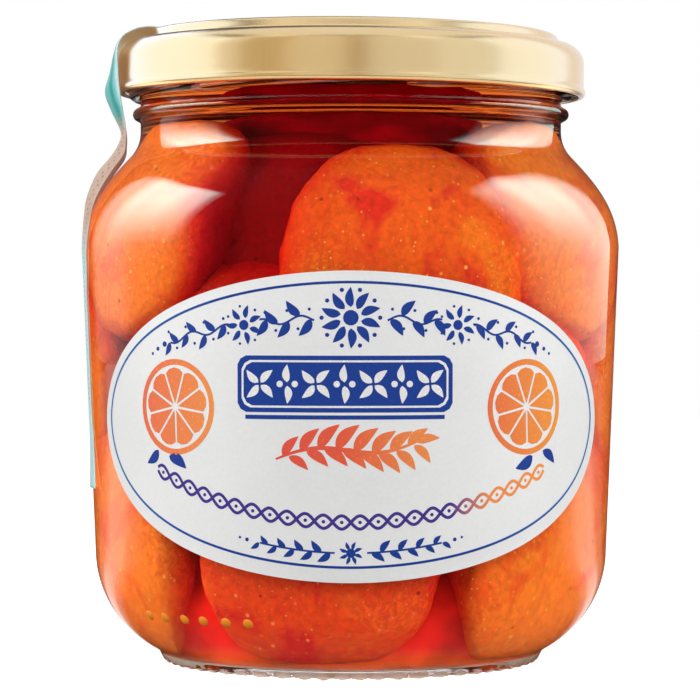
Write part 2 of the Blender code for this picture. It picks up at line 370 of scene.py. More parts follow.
def clearMaterial(name, ior, tint, mirrors):
    look = {"Base Color": tint, "Roughness": 0.0, "IOR": ior, "Transmission Weight": 1.0}
    material, tree, shader = newMaterial(name, look | {"Specular Tint": mirrors})
    lamps = newNode(tree, "ShaderNodeLightPath").outputs["Is Shadow Ray"]
    through = newNode(tree, "ShaderNodeBsdfTransparent", {"Color": tint}).outputs[0]
    lampsPass = newNode(tree, "ShaderNodeMixShader", {0: lamps, 1: shader.outputs[0], 2: through})
    fill(tree, tree.nodes["Material Output"], {"Surface": lampsPass.outputs[0]})
    return material


# Glass and syrup touch, so those sides mirror nothing
white, black = (1, 1, 1), (0, 0, 0)
clearGlass = clearMaterial("clearGlass", glassLook["glassIor"], glassLook["glassTint"], white)
wetGlass = clearMaterial("wetGlass", glassLook["glassIor"], glassLook["glassTint"], black)
redSyrup = clearMaterial("redSyrup", glassLook["syrupIor"], white, black)


def colourSyrup():
    tree, most = redSyrup.node_tree, max(glassLook["absorbed"])
    look = {"Color": [1 - share / most for share in glassLook["absorbed"]], "Density": most}
    soak = newNode(tree, "ShaderNodeVolumeAbsorption", look)
    fill(tree, tree.nodes["Material Output"], {"Volume": soak.outputs[0]})


def makeJar():
    profile = [*map(tuple, inner[::-1]), *map(tuple, outer)] + footProfile()
    glass = turned("jarGlass", profile, jar["steps"], clearGlass, wetGlass, shape=footShape)
    aside, below, clear = glassLook["wetMargins"]
    for face in glass.data.polygons:  # the inner side, below the syrup's top, is wetted
        middle = face.center / mm
        reach = math.hypot(middle.x, middle.y)
        inside = reach < radiusOn(inner, middle.z) + aside
        filled = jar["floorZ"] - below < middle.z < glassLook["fillZ"]
        offPushUp = reach > jar["pushUp"][0] + clear or middle.z > jar["floorMiddleZ"] + clear
        face.material_index = int(inside and filled and offPushUp)
    dress(glass, "glass_jar")
    print("jar made,", len(glass.data.polygons), "faces")


# The stippled standing ring, a pale layer in the clear foot with darker streaks: painted light and
# shade, standing for the light seen through the clear stippled glass
standingRing = {
    "profile": [(28.95, 0.25), (27.6, 0.45), (25.0, 1.2), (23.3, 1.78)],
    "rows": 14,
    "pale": (0.97, 1.0, 1.0),
    "shade": (0.70, 0.66, 0.55),
}


def makeStandingRing():
    material, tree, shader = newMaterial("stippledGlassPaintedLight", {"Roughness": 0.4})
    streaks = noiseOn(tree, mapped(tree, coordinates(tree), Scale=(1, 1, 3)), 260, 3, 0.6)
    colour = ramp(tree, streaks, [(0.36, standingRing["shade"]), (0.50, standingRing["pale"])])
    fill(tree, shader, {"Base Color": colour})
    profile = [tuple(point) for point in evenly(standingRing["profile"], standingRing["rows"])]
    band = turned("standingRing", profile, jar["steps"], material, shape=footShape)
    dress(band, "glass_jar")


def makeSyrup():
    sink, fillZ = glassLook["sinkIntoWall"], glassLook["fillZ"]
    top = radiusOn(inner, fillZ) + sink
    profile = [(0, fillZ), (top * 0.5, fillZ), (top, fillZ)]
    for r, z in inner[inner[:, 1] < fillZ]:
        lower = sink if z < glassLook["sinkIntoFloor"] else 0
        profile.append((r + sink if r > 1e-6 else 0, z - lower))
    dress(turned("redSyrup", profile, 240, redSyrup), None)


colourSyrup()
makeJar()
makeStandingRing()
makeSyrup()

# Threads for the twist-off lid: ramps round the finish, rising to the right

threads = {
    "count": 6,
    "start": -46.6,
    "span": 62,
    "lowZ": 87.25,
    "rise": 1.15,
    "half": 0.75,
    "stand": 1.9,
    "steps": 40,
    "section": 14,
}


def makeThreads():
    vertices, faces = [], []
    first, gap, section = threads["start"], 360 / threads["count"], threads["section"]
    for k in range(threads["count"]):
        rows = []
        for i in range(threads["steps"] + 1):
            t = i / threads["steps"]
            turn = math.radians(first + gap * k + threads["span"] * t)
            swell = min(1, math.sqrt(max(0, min(t, 1 - t) * 9))) or 0.02  # it fades at both ends
            rows.append(range(len(vertices), len(vertices) + section))
            for s in range(section):
                a = math.tau * s / section
                out = threads["stand"] * swell * (0.45 + 0.525 * math.cos(a))
                z = threads["lowZ"] + threads["rise"] * t + threads["half"] * swell * math.sin(a)
                vertices.append(roundAxis(turn, jar["neckR"] + max(out, -0.3), z))
        faces += turnedFaces(rows) + [tuple(rows[0]), tuple(rows[-1])[::-1]]
    dress(meshObject("jarThreads", vertices, faces, clearGlass), None)


makeThreads()

# Babas, each a cap on a stem, pressed against the glass where it would reach past it

baba = {
    "capR": 17.2,
    "capHeight": 22.0,
    "fullness": 0.8,
    "underside": 58,
    "stemR": 10.4,
    "stemEndR": 8.6,
    "stemLength": 14.0,
    "stemRound": 2.2,
    "rows": 92,
    "columns": 150,
    "lumps": 0.75,
    "lumpSize": 7.5,
    "wrinkles": 0.16,
    "wrinkleSize": 1.9,
    "wrinkleDepth": 0.35,
    "glassGap": 0.35,
    "press": 0.8,  # how softly the pressed patch turns into the round
}
# Azimuth, height and distance from the axis of each cap, how far it looks up and round, size,
# mm of painted haze and shade before it and how far its colour leans to amber
babaPlaces = {
    "bottomFront": (-8, 18.5, 31.0, -4, 0, 1.0, 3.2, -0.02),
    "bottomRight": (60, 18.5, 30.0, 0, 4, 1.12, 0, 0.05),
    "bottomBackRight": (124, 19.5, 29.5, -6, -6, 1.1, 0, 0),
    "bottomBackLeft": (-160, 19.5, 29.5, 5, 8, 1.1, 0, 0),
    "bottomLeft": (-77, 19.5, 30.5, 0, -4, 1.1, 0, 0.05),
    "middleFrontLeft": (-25, 48.5, 27.0, 30, 0, 1.0, 1.5, 0),
    "middleFrontRight": (43, 40.5, 27.5, -8, 10, 1.0, 0, 0),
    "middleRight": (98, 43.0, 29.5, 6, 10, 1.06, 0, 0.05),
    "middleBack": (-178, 42.0, 28.5, -10, 0, 1.0, 0, 0),
    "middleLeft": (-100, 42.5, 29.5, -6, -6, 1.06, 0, 0.05),
    "topFront": (14, 60.5, 30.0, 8, 0, 1.0, 0.4, 0.01),
    "topRight": (64, 66.5, 29.5, 22, 0, 1.04, 0, 0.06),
    "topBackRight": (144, 62.5, 29.0, 14, -8, 1.0, 0, 0),
    "topBackLeft": (-143, 62.5, 29.0, 20, 14, 1.0, 0, 0),
    "topLeft": (-61, 67.0, 28.8, 22, -13, 1.02, 0.4, 0.11),
    "insideFront": (-24, 62.0, 19.5, 16, 0, 1.0, 5, 0),
}
# Painted haze and shade that a cake fades into, as if in thick syrup: from this x to that, below
# this height, and mm of haze and shade
hazeBanks = {
    "topLeft": (-26.8, -18, 78, 7.0),
    "bottomLeft": (-29, -22, 18, 5.0),
    "bottomRight": (25, 14, 20, 3.5),
}
# The piece that stands for the middle of the heap, from its top down; its colours are painted shade
# and light
fillerSide = [(0, 88), (11, 88), (14, 84), (15, 77), (18, 71), (24, 64), (25.5, 22), (31, 11)]
fillerSide += [(30, 6), (27.4, 3.4), (24.5, 2.7), (22.5, 2.5), (15, 3.5), (0, 4.0)]


def babaSection():
    b = baba
    half = b["capHeight"] / 2
    turns = np.radians(np.linspace(90, -b["underside"], 60))
    points = [(abs(math.cos(t)) ** b["fullness"] * b["capR"], math.sin(t) * half) for t in turns]
    points[0] = (0, half)
    stemTop = points[-1][1]
    stemEnd = stemTop - b["stemLength"]
    points += [(b["stemR"] - 0.8, stemTop - 0.5), (b["stemR"], stemTop - 1.6)]
    points += [(b["stemEndR"], stemEnd + b["stemRound"])]
    centre = (b["stemEndR"] - b["stemRound"], stemEnd + b["stemRound"])
    points += arc(*centre, b["stemRound"], 0, -90, 6)
    return evenly(points + [(0, stemEnd)], b["rows"])


def babaShape(section, seed):  # one baba's points and faces, with its own lumps and wrinkles
    turns = np.arange(baba["columns"]) * math.tau / baba["columns"]
    tangent = np.gradient(section, axis=0)
    out = np.stack([-tangent[:, 1], tangent[:, 0]], axis=1)
    out /= np.linalg.norm(out, axis=1, keepdims=True)
    sides = np.stack([np.cos(turns), np.sin(turns)], axis=1)
    vertices, rows = [], []
    shift, depth = Vector((seed * 13.7, seed * 5.1, seed * 9.3)), baba["wrinkleDepth"]
    for (r, z), (outR, outZ) in zip(section, out):
        row = []
        for c, s in sides if r > 1e-6 else sides[:1]:
            place = Vector((r * c, r * s, z))
            lump = noise.fractal(place / baba["lumpSize"] + shift, 1.0, 2.1, 3)
            crease = abs(noise.fractal(place / baba["wrinkleSize"] + shift, 0.9, 2.0, 2))
            push = baba["lumps"] * lump - baba["wrinkles"] * (depth - min(crease, depth)) / depth
            row.append(len(vertices))
            vertices.append((place.x + outR * c * push, place.y + outR * s * push, z + outZ * push))
        rows.append(row if len(row) > 1 else row * baba["columns"])
    return np.array(vertices), turnedFaces([row[::-1] for row in rows])


def softLimit(value, most, softness):  # value where it is well under most, else most
    return most - softness * np.logaddexp(0, (most - value) / softness)


def pressToGlass(points):  # and how far in from the glass each point is
    floor = jar["floorMiddleZ"] + baba["glassGap"]
    points[:, 2] = -softLimit(-points[:, 2], -floor, baba["press"])
    reach = np.hypot(points[:, 0], points[:, 1])
    most = radiusOn(inner, points[:, 2]) - baba["glassGap"]
    scale = softLimit(reach, most, baba["press"]) / np.maximum(reach, 1e-6)
    points[:, :2] *= np.where(reach > 12, scale, 1)[:, None]
    return points, radiusOn(inner, points[:, 2]) - np.hypot(points[:, 0], points[:, 1])


cakeLook = {
    "orange": (0.93, 0.125, 0.011),
    "amber": (0.98, 0.22, 0.014),
    "red": (0.80, 0.030, 0.015),
    "speck": (1.0, 0.50, 0.09),
    "dark": (0.30, 0.02, 0.01),
    "patchSize": 13.0,
    "crumbSize": 0.9,
    "fineSpeck": 0.9,
    "largeSpeck": 1.7,
    "largeSpecks": [((0.3, 0.7, 0.2), 0.22, "speck"), ((0.9, 0.1, 0.6), 0.05, "dark")],
    "net": (0.80, 0.06, 0.014),
    "netSize": 1.5,
    # Painted shade: redder and darker by the mm in from the glass, as less light gets in
    "deepShade": [
        (0.35, (1, 1, 1)),
        (1.6, (1, 0.85, 1)),
        (3.8, (0.95, 0.50, 1)),
        (6, (0.82, 0.18, 1)),
        (9, (0.62, 0.03, 1)),
        (13, (0.4, 0.002, 1)),
    ],
    # Painted light: more amber towards the jar's sides, where the side lamps fall
    "sideLitAmber": (0.10, 10, 22),  # at the jar's sides: this much, from here, over this many mm
    "clearLow": (0.25, 42),  # less deep low down, where light comes through
    "bankFade": 8,
}
# Painted shade and light on what is seen between the babas, from the dark neck, which the lid
# shades, down to the foot where light comes through
depthLook = {
    "crimson": (0.56, 0.0, 0.05),
    "middle": (0.84, 0.024, 0.022),
    "foot": (1.0, 0.14, 0.022),
    "heights": (3.2, 7, 60),
}


def specksOn(tree, place, size, share):
    inputs = {"Vector": place, "Scale": 1000 / size, "Randomness": 1.0}
    cells = newNode(tree, "ShaderNodeTexVoronoi", inputs)
    near = ramp(tree, cells.outputs["Distance"], [(0.10, 1), (0.22, 0)])
    draw = newNode(tree, "ShaderNodeSeparateColor", {0: cells.outputs["Color"]}).outputs[0]
    return maths(tree, "MULTIPLY", near, ramp(tree, draw, [(1 - share, 0), (1 - share * 0.4, 0.9)]))


def cakeMaterial():
    look = cakeLook
    dull = {"Roughness": 0.6, "Specular IOR Level": 0.08}  # the syrup takes its shine
    material, tree, shader = newMaterial("soakedCake", dull)
    place = coordinates(tree)
    patches = noiseOn(tree, place, 1000 / look["patchSize"], 4, 0.6, 0.5)
    # The amber value holds each cake's own lean and the painted side light
    patches = maths(tree, "ADD", patches, valueOf(tree, "amber"))
    tones = [(0.37, look["red"]), (0.48, look["orange"])]
    tones += [(0.53, look["orange"]), (0.62, look["amber"])]
    crumb = noiseOn(tree, place, 1000 / look["crumbSize"], 4, 0.6, 0.2)
    shade = ramp(tree, crumb, [(0.34, 0.84), (0.5, 1.0), (0.66, 1.1)])
    colour = mixColours(tree, 1, ramp(tree, patches, tones), shade, "MULTIPLY")
    veins = noiseOn(tree, place, 1000 / look["netSize"], 2, 0.5, 0.8)
    net = ramp(tree, veins, [(0.42, 0), (0.49, 0.6), (0.51, 0.6), (0.58, 0)])
    where = ramp(tree, noiseOn(tree, place, 75, 2, 0.5), [(0.46, 0.25), (0.6, 1)])
    colour = mixColours(tree, maths(tree, "MULTIPLY", net, where), colour, look["net"])
    fine = specksOn(tree, place, look["fineSpeck"], 0.55)
    colour = mixColours(tree, fine, colour, look["speck"])
    for shift, share, tone in look["largeSpecks"]:
        moved = mapped(tree, place, Location=shift)
        specks = specksOn(tree, moved, look["largeSpeck"], share)
        colour = mixColours(tree, specks, colour, look[tone])
    # Painted shade: the deep value, wandering with the patches, turns the colour redder and darker
    wander = spread(tree, patches, 0.3, 0.7, -0.8, 0.8)
    most = look["deepShade"][-1][0]
    deep = maths(tree, "DIVIDE", maths(tree, "ADD", valueOf(tree, "deep"), wander), most)
    deepShade = ramp(tree, deep, [(d / most, tone) for d, tone in look["deepShade"]])
    colour = mixColours(tree, 1, colour, deepShade, "MULTIPLY")
    bump = bumpOn(tree, fine, 0.3, 0.0003, Normal=bumpOn(tree, crumb, 0.4, 0.0003))
    fill(tree, shader, {"Base Color": colour, "Normal": bump})
    return material


def depthMaterial():
    dull = {"Roughness": 0.8, "Specular IOR Level": 0.0}
    material, tree, shader = newMaterial("paintedShadeBetweenBabas", dull)
    place = coordinates(tree)
    low, middle, high = depthLook["heights"]
    rise = spread(tree, partsOf(tree, place)[2], low * mm, high * mm)
    tones = [(0.0, depthLook["foot"]), ((middle - low) / (high - low), depthLook["middle"])]
    colour = ramp(tree, rise, tones + [(1.0, depthLook["crimson"])], "EASE")
    cloud = ramp(tree, noiseOn(tree, place, 130, 3, 0.5), [(0.35, 0.7), (0.65, 1.4)])
    fill(tree, shader, {"Base Color": mixColours(tree, 1, colour, cloud, "MULTIPLY")})
    return material


def makeBaba(name, section, number, draw, soakedCake):
    azimuth, height, reach, up, aside, size, haze, amber = babaPlaces[name]
    points, faces = babaShape(section, number)
    turn = math.radians(azimuth)
    place = Matrix.Translation(roundAxis(turn, reach, height))
    axis = Vector(roundAxis(turn + math.radians(aside), 1, math.tan(math.radians(up))))
    facing = axis.to_track_quat("Z", "Y").to_matrix().to_4x4()
    spin = Matrix.Rotation(draw.uniform(0, math.tau), 4, "Z")
    swell = (draw.uniform(0.95, 1.03) * size, draw.uniform(0.95, 1.03) * size, 1, 1)
    move = np.array(place @ facing @ spin @ Matrix.Diagonal(swell))
    points, deep = pressToGlass(points @ move[:3, :3].T + move[:3, 3])
    # Painted haze and shade: inside a bank the cake counts as deeper in
    if name in hazeBanks:
        start, end, top, most = hazeBanks[name]
        near = np.clip((points[:, 0] - start) / (end - start), 0, 1)
        under = np.clip((top - points[:, 2]) / cakeLook["bankFade"], 0, 1)
        deep += most * near * near * (3 - 2 * near) * under
    least, rise = cakeLook["clearLow"]
    deep *= np.clip(least + points[:, 2] / rise, 0, 1)
    cake = meshObject(f"baba_{name}", points, faces, soakedCake)
    # deep: mm in from the glass, with painted haze and shade added
    mark(cake, "deep", (deep + haze).astype(np.float32))
    # Painted light: more amber towards the jar's sides
    sideLitAmber, start, fade = cakeLook["sideLitAmber"]
    side = np.clip((np.abs(points[:, 0]) - start) / fade, 0, 1)
    mark(cake, "amber", (amber + sideLitAmber * side).astype(np.float32))
    dress(cake, "babas")


def lumpy(r, z, turn):
    place = Vector((r * math.cos(turn), r * math.sin(turn), z))
    return r + noise.fractal(place / 6, 1.0, 2.0, 3) * min(1, max(0, (z - 8) / 8)), z


def makeBabas():
    section, draw, soakedCake = babaSection(), random.Random(7), cakeMaterial()
    for number, name in enumerate(babaPlaces):
        makeBaba(name, section, number + 1, draw, soakedCake)
    profile = [tuple(point) for point in evenly(fillerSide, 90)]
    filler = turned("baba_core", profile, 120, depthMaterial(), shape=lumpy)
    dress(filler, "babas")
    print("babas made:", len(babaPlaces))


makeBabas()

# Lid: lacquered tinplate with a raised rim, a recessed panel, a button and a curled edge

lid = {
    "r": 36.2,
    "curlR": 36.5,
    "baseZ": 87.4,
    "topZ": 97.0,
    "corner": 2.9,
    "sheet": 0.6,
    "curl": 0.75,
    "rimInnerR": 30.7,
    "rimR": 31.9,
    "ledgeR": 32.5,
    "ledgeDrop": 1.5,
    "panelR": 29.2,
    "panelDrop": 0.7,
    "panelRingR": 22.8,
    "panelRingRise": 0.16,
    "buttonR": 12.0,
    "buttonFootR": 13.5,
    "buttonRise": 0.4,
    "linerR": 33.2,
    "undersideZ": 95.2,
    "tilt": 0.5,
    "steps": 300,
    "gold": (0.87, 0.535, 0.19),
    "deepGold": (0.85, 0.515, 0.175),
    "roughness": 0.25,
}


def rounded(points, radius, count=4):  # a polyline with its inner corners rounded
    line = [np.array(p, float) for p in points]
    out = [tuple(line[0])]
    for before, corner, after in zip(line, line[1:], line[2:]):
        a, b = before - corner, after - corner
        reach = min(radius, np.linalg.norm(a) * 0.45, np.linalg.norm(b) * 0.45)
        start = corner + a / np.linalg.norm(a) * reach
        end = corner + b / np.linalg.norm(b) * reach
        for t in np.linspace(0, 1, count):
            out.append(tuple((1 - t) ** 2 * start + 2 * t * (1 - t) * corner + t * t * end))
    return out + [tuple(line[-1])]


def lidProfile():
    p = lid
    ledge, panel = p["topZ"] - p["ledgeDrop"], p["topZ"] - p["panelDrop"]
    button, ringR = panel + p["buttonRise"], p["panelRingR"]
    curlZ, curlR = p["baseZ"] + p["curl"], p["curlR"] - p["curl"]
    inside = p["r"] - p["sheet"]
    top = [(0, button), (p["buttonR"] - 5, button), (p["buttonR"], button)]
    top += [(p["buttonFootR"], panel), (ringR - 0.8, panel)]
    top += [(ringR, panel + p["panelRingRise"]), (ringR + 0.8, panel), (p["panelR"], panel)]
    top += [(p["rimInnerR"], p["topZ"]), (p["rimR"], p["topZ"]), (p["ledgeR"], ledge)]
    points = rounded(top + [(p["r"] - p["corner"], ledge)], 0.8)[:-1]
    points += arc(p["r"] - p["corner"], ledge - p["corner"], p["corner"], 90, 0, 14)
    points += straight(points[-1], (p["r"], curlZ + p["curl"]), 5)
    points += [(p["r"], curlZ + p["curl"])]
    points += arc(curlR, curlZ, p["curl"], 35, -200, 18)
    points += [(inside, curlZ + p["curl"]), (inside, ledge - p["corner"])]
    points += [(p["linerR"], p["undersideZ"])]
    return points + straight(points[-1], (0, p["undersideZ"]), 3) + [(0, p["undersideZ"])]


def goldMaterial():
    look = {"Metallic": 1.0, "Coat Weight": 0.25, "Coat Roughness": 0.18}
    material, tree, shader = newMaterial("goldLacquer", look)
    place = coordinates(tree)
    grain = noiseOn(tree, mapped(tree, place, Scale=(1, 1, 0.04)), 5200, 2, 0.6)
    both = maths(tree, "ADD", grain, noiseOn(tree, place, 90, 3, 0.5))
    tones = [(0.38, lid["deepGold"]), (0.62, lid["gold"])]
    colour = ramp(tree, maths(tree, "MULTIPLY", both, 0.5), tones)
    rough = spread(tree, grain, 0.3, 0.7, lid["roughness"] - 0.02, lid["roughness"] + 0.02)
    bump = bumpOn(tree, grain, 0.015, 0.00002)
    fill(tree, shader, {"Base Color": colour, "Roughness": rough, "Normal": bump})
    return material


def makeLid():
    piece = turned("twistOffLid", lidProfile(), lid["steps"], goldMaterial())
    middle = Vector((0, 0, lid["baseZ"] * mm))
    lean = Matrix.Rotation(math.radians(lid["tilt"]), 4, "Y")  # a little lower on its +X side
    piece.data.transform(Matrix.Translation(middle) @ lean @ Matrix.Translation(-middle))
    dress(piece, "lid")
    print("lid made")


makeLid()

# Label: an oval of white paper wrapped on the body

label = {
    "width": 90.6,
    "height": 44.6,
    "z": 37.7,
    "gap": 0.04,
    "paper": 0.16,
    "margin": 2.48,  # the border round the flat paper
    "marginFrom": 0.9,  # of its rings
    "pressed": (0.93, 0.03, 0.05),  # from this share of the rings, over this one, mm thinner
    "squareness": 1.92,
    "spokes": 220,
    "rings": 30,
}


def ovalPoint(turn, inset, scale=1.0):
    c, s = math.cos(turn), math.sin(turn)
    power = 2 / label["squareness"]
    u = math.copysign(abs(c) ** power, c) * (label["width"] / 2 - inset)
    v = math.copysign(abs(s) ** power, s) * (label["height"] / 2 - inset)
    return u * scale, v * scale


def onLabel(u, v, lift):
    z = label["z"] + v
    r = float(radiusOn(outer, z))
    return roundAxis(u / r, r + label["gap"] + lift, z)


def makeLabel():
    spokes, rings, border = label["spokes"], label["rings"], label["marginFrom"]
    start, fade, most = label["pressed"]
    vertices, rows = [], []
    for top in (True, False):
        for row in range(rings + 1) if top else range(rings, -1, -1):
            t = row / rings
            thinner = min(max((t - start) / fade, 0), 1) * most
            lift = label["paper"] - thinner if top else 0
            if row == 0:
                rows.append([len(vertices)] * spokes)
                vertices.append(onLabel(0, 0, lift))
                continue
            rows.append(list(range(len(vertices), len(vertices) + spokes)))
            inset = label["margin"] * min(1, (1 - t) / (1 - border))
            for i in range(spokes):
                u, v = ovalPoint(math.tau * i / spokes, inset, min(1, t / border))
                vertices.append(onLabel(u, v, lift))
    faces = [face[::-1] for face in turnedFaces(rows)]
    paper = meshObject("ovalLabel", vertices, faces, whitePaper())
    paper.data.set_sharp_from_angle(angle=math.radians(35))
    dress(paper, "label")


def whitePaper():
    material, tree, shader = newMaterial("labelPaper", {"Roughness": 0.42})
    place = coordinates(tree)
    fibres = noiseOn(tree, place, 1800, 4, 0.65)
    both = maths(tree, "ADD", fibres, noiseOn(tree, place, 70, 2, 0.5))
    tones = [(0.35, (0.80, 0.797, 0.79)), (0.65, (0.86, 0.858, 0.852))]
    colour = ramp(tree, maths(tree, "MULTIPLY", both, 0.5), tones)
    fill(tree, shader, {"Base Color": colour, "Normal": bumpOn(tree, fibres, 0.12, 0.00005)})
    return material


# Motifs are flat, x along the label and y up it, and are laid on the curved paper at the end


def inkMaterial(name, stops, reach=1.0):  # colours from left to right over this share of it
    look = {"Roughness": 0.5, "Specular IOR Level": 0.2}
    material, tree, shader = newMaterial(name, look)
    place = coordinates(tree)
    half = label["width"] / 2 * mm * reach
    colour = ramp(tree, spread(tree, partsOf(tree, place)[0], -half, half), stops)
    worn = noiseOn(tree, place, 2600, 3, 0.6)
    tone = ramp(tree, worn, [(0.30, 1.25), (0.40, 1.0), (0.7, 0.95)])
    fill(tree, shader, {"Base Color": mixColours(tree, 1, colour, tone, "MULTIPLY")})
    return material


deepBlue, lightBlue = (0.005, 0.043, 0.29), (0.010, 0.20, 0.50)
coral, orange, yellow = (0.80, 0.09, 0.055), (0.91, 0.27, 0.075), (0.95, 0.40, 0.04)
purple, redCoral, paperWhite = (0.06, 0.03, 0.26), (0.84, 0.11, 0.05), (0.84, 0.835, 0.83)
inkStops = {
    "blueInk": [(0.0, deepBlue), (1.0, deepBlue)],
    "borderInk": [(0.0, lightBlue), (0.3, deepBlue), (0.7, deepBlue), (1.0, lightBlue)],
    "fruitInk": [(0.1, coral), (0.26, orange), (0.34, yellow), (0.66, coral), (0.9, yellow)],
    "cordInk": [(0.0, purple), (0.66, purple), (0.72, orange), (1.0, yellow)],
    "paperInk": [(0.0, paperWhite), (1.0, paperWhite)],
}
inks = {name: inkMaterial(name, stops) for name, stops in inkStops.items()}
inks["sprayInk"] = inkMaterial("sprayInk", [(0.1, coral), (0.45, redCoral), (0.9, orange)], 0.27)


def flatPiece(name, outlines, ink):
    vertices, faces = [], []
    for outline in outlines:
        faces.append(range(len(vertices), len(vertices) + len(outline)))
        vertices += [(x, y, 0) for x, y in outline]
    return meshObject(name, vertices, faces, inks[ink])


def ribbon(points, widths):  # one quad after another along a line, each end with its own width
    line = np.array(points, float)
    ahead = np.gradient(line, axis=0)
    side = np.stack([-ahead[:, 1], ahead[:, 0]], axis=1)
    side /= np.linalg.norm(side, axis=1, keepdims=True)
    half = np.asarray(widths, float).reshape(-1, 1) / 2 * np.ones((len(line), 1))
    left, right = line + side * half, line - side * half
    return [(right[i], right[i + 1], left[i + 1], left[i]) for i in range(len(line) - 1)]


def leafOutline(length, width, lean=0.0, count=9):  # from its stalk at 0 to its tip along +X
    along = np.linspace(0, 1, count)
    half = width / 2 * np.sin(np.pi * along**0.75) ** 0.9
    middle = lean * np.sin(np.pi * along)
    low, high = zip(length * along, middle - half), zip(length * along, middle + half)
    return [*low, *[*high][-2:0:-1]]


def discOutline(radius, count=14):
    turns = [math.tau * i / count for i in range(count)]
    return [(radius * math.cos(t), radius * math.sin(t)) for t in turns]


def repeatTree():  # puts a motif at every point, turned and sized by the point's own values
    tree = bpy.data.node_groups.new("repeatMotif", "GeometryNodeTree")
    kinds = {"Points": "Geometry", "Motif": "Object", "Motif Size": "Float", "Ink": "Material"}
    for name, kind in kinds.items():
        tree.interface.new_socket(name, in_out="INPUT", socket_type="NodeSocket" + kind)
    tree.interface.new_socket("Motifs", in_out="OUTPUT", socket_type="NodeSocketGeometry")
    given = newNode(tree, "NodeGroupInput").outputs
    inputs = {"Object": given["Motif"], "As Instance": True}
    motif = newNode(tree, "GeometryNodeObjectInfo", inputs).outputs["Geometry"]
    own = {}
    for name, kind in (("turn", "FLOAT_VECTOR"), ("size", "FLOAT")):
        node = newNode(tree, "GeometryNodeInputNamedAttribute", {"Name": name}, data_type=kind)
        own[name] = node.outputs["Attribute"]
    inputs = {"Points": given["Points"], "Instance": motif, "Rotation": own["turn"]}
    inputs["Scale"] = maths(tree, "MULTIPLY", own["size"], given["Motif Size"])
    laid = newNode(tree, "GeometryNodeInstanceOnPoints", inputs).outputs[0]
    real = newNode(tree, "GeometryNodeRealizeInstances", {"Geometry": laid}).outputs[0]
    inputs = {"Geometry": real, "Material": given["Ink"]}
    coloured = newNode(tree, "GeometryNodeSetMaterial", inputs).outputs[0]
    newNode(tree, "NodeGroupOutput", {"Motifs": coloured})
    return tree


motifTree = repeatTree()


def repeated(name, motif, spots, material, size=1.0):  # spots: place, turn and size of each
    places, turns, sizes = zip(*spots)
    holder = meshObject(name + "Spots", places, [])
    mark(holder, "turn", [x for turn in turns for x in turn], "FLOAT_VECTOR")
    mark(holder, "size", sizes)
    modifier = holder.modifiers.new("repeat", "NODES")
    modifier.node_group = motifTree
    given = {"Motif": motif, "Motif Size": size, "Ink": material}
    for socket in motifTree.interface.items_tree:
        if socket.in_out == "INPUT" and socket.name in given:
            modifier[socket.identifier] = given[socket.name]
    bpy.context.view_layer.update()
    seen = holder.evaluated_get(bpy.context.evaluated_depsgraph_get())
    mesh = bpy.data.meshes.new_from_object(seen)
    mesh.name = name
    holder.modifiers.remove(modifier)
    bpy.data.objects.remove(holder)
    return placed(name, mesh)


def laidOnLabel(things, name, lift):
    # Joins flat pieces, cuts them into narrow strips and wraps them round the paper
    whole = bmesh.new()
    materials = []
    for thing in things:
        first = len(whole.faces)
        whole.from_mesh(thing.data)
        whole.faces.ensure_lookup_table()
        for face in whole.faces[first:]:
            material = thing.data.materials[face.material_index]
            if material not in materials:
                materials.append(material)
            face.material_index = materials.index(material)
        bpy.data.objects.remove(thing)
    edge = int(label["width"] / 2)
    for x in range(-edge, edge + 1):
        cut, where = [*whole.verts, *whole.edges, *whole.faces], (x * mm, 0, 0)
        bmesh.ops.bisect_plane(whole, geom=cut, dist=1e-7, plane_co=where, plane_no=(1, 0, 0))
    for vertex in whole.verts:
        u, v, _ = vertex.co / mm
        vertex.co = Vector(onLabel(u, v, label["paper"] + lift)) * mm
    mesh = bpy.data.meshes.new(name)
    whole.to_mesh(mesh)
    whole.free()
    for material in materials:
        mesh.materials.append(material)
    mesh.shade_smooth()
    dress(placed(name, mesh), "label")


printed = {
    "borderInset": 1.75,
    "borderWidth": 0.38,
    "borderUp": 0.3,
    "vineMiddle": 15.6,
    "vineDrop": 3.9,  # how far the vine has sunk 30 mm from the middle
    "vineStems": ((5.2, 13.2), (18.0, 28.2)),
    "vineFlowers": ((0, 10, 1.0), (-15.6, 7, 0.66), (15.6, 7, 0.66)),  # u, petals, size
    "vineLeaves": (5.6, 28.4, 1.62),  # from, to and pitch
    "vineGap": (15.6, 2.9),  # none this near the smaller flowers
    "flower": (3.1, 1.5, 4.15, 0.85),  # middle's size, leaves' reach, dots' reach and size
    "vineEnd": ((29.4, -0.2, 1.15), (30.8, -0.9, 0.85), (31.9, -1.6, 0.65)),  # dots
    "bandHalf": 15.7,
    "bandLow": 2.1,
    "bandHigh": 10.2,
    "bandMiddle": -0.9,
    "bandNick": 1.3,
    "bandLine": (0.65, 0.95),  # the white line's two sides, in from the band's edge
    "bandPitch": 4.1,
    "bar": (1.2, 1.0, 0.4),  # shorter at each end, and from here to there below the band
    "cordMiddle": -13.6,
    "cordRise": 8.0,
    "cordHalf": 31.0,
    "cordWave": (0.95, 5.2),
    "wheelMiddle": (27.4, 2.6),
    "wheelRim": (6.55, 0.85),  # radius and width
    "wheelLeafReach": 7.3,
    "wheelLeaves": ((-100, -28, 0.72), (-118, -142, 0.62)),  # place round it, turn and size
    "slice": [(0.5, 0), (4.9, -1.62), (5.5, -1.0), (5.75, 0), (5.5, 1.0), (4.9, 1.62)],
    "footV": -18.0,
    "footRise": 1.3,  # 13 mm from the middle
    "footEnd": ((15.2, 1.75, 0.8), (16.3, 2.05, 0.55)),  # dots
    "lift": 0.025,
}


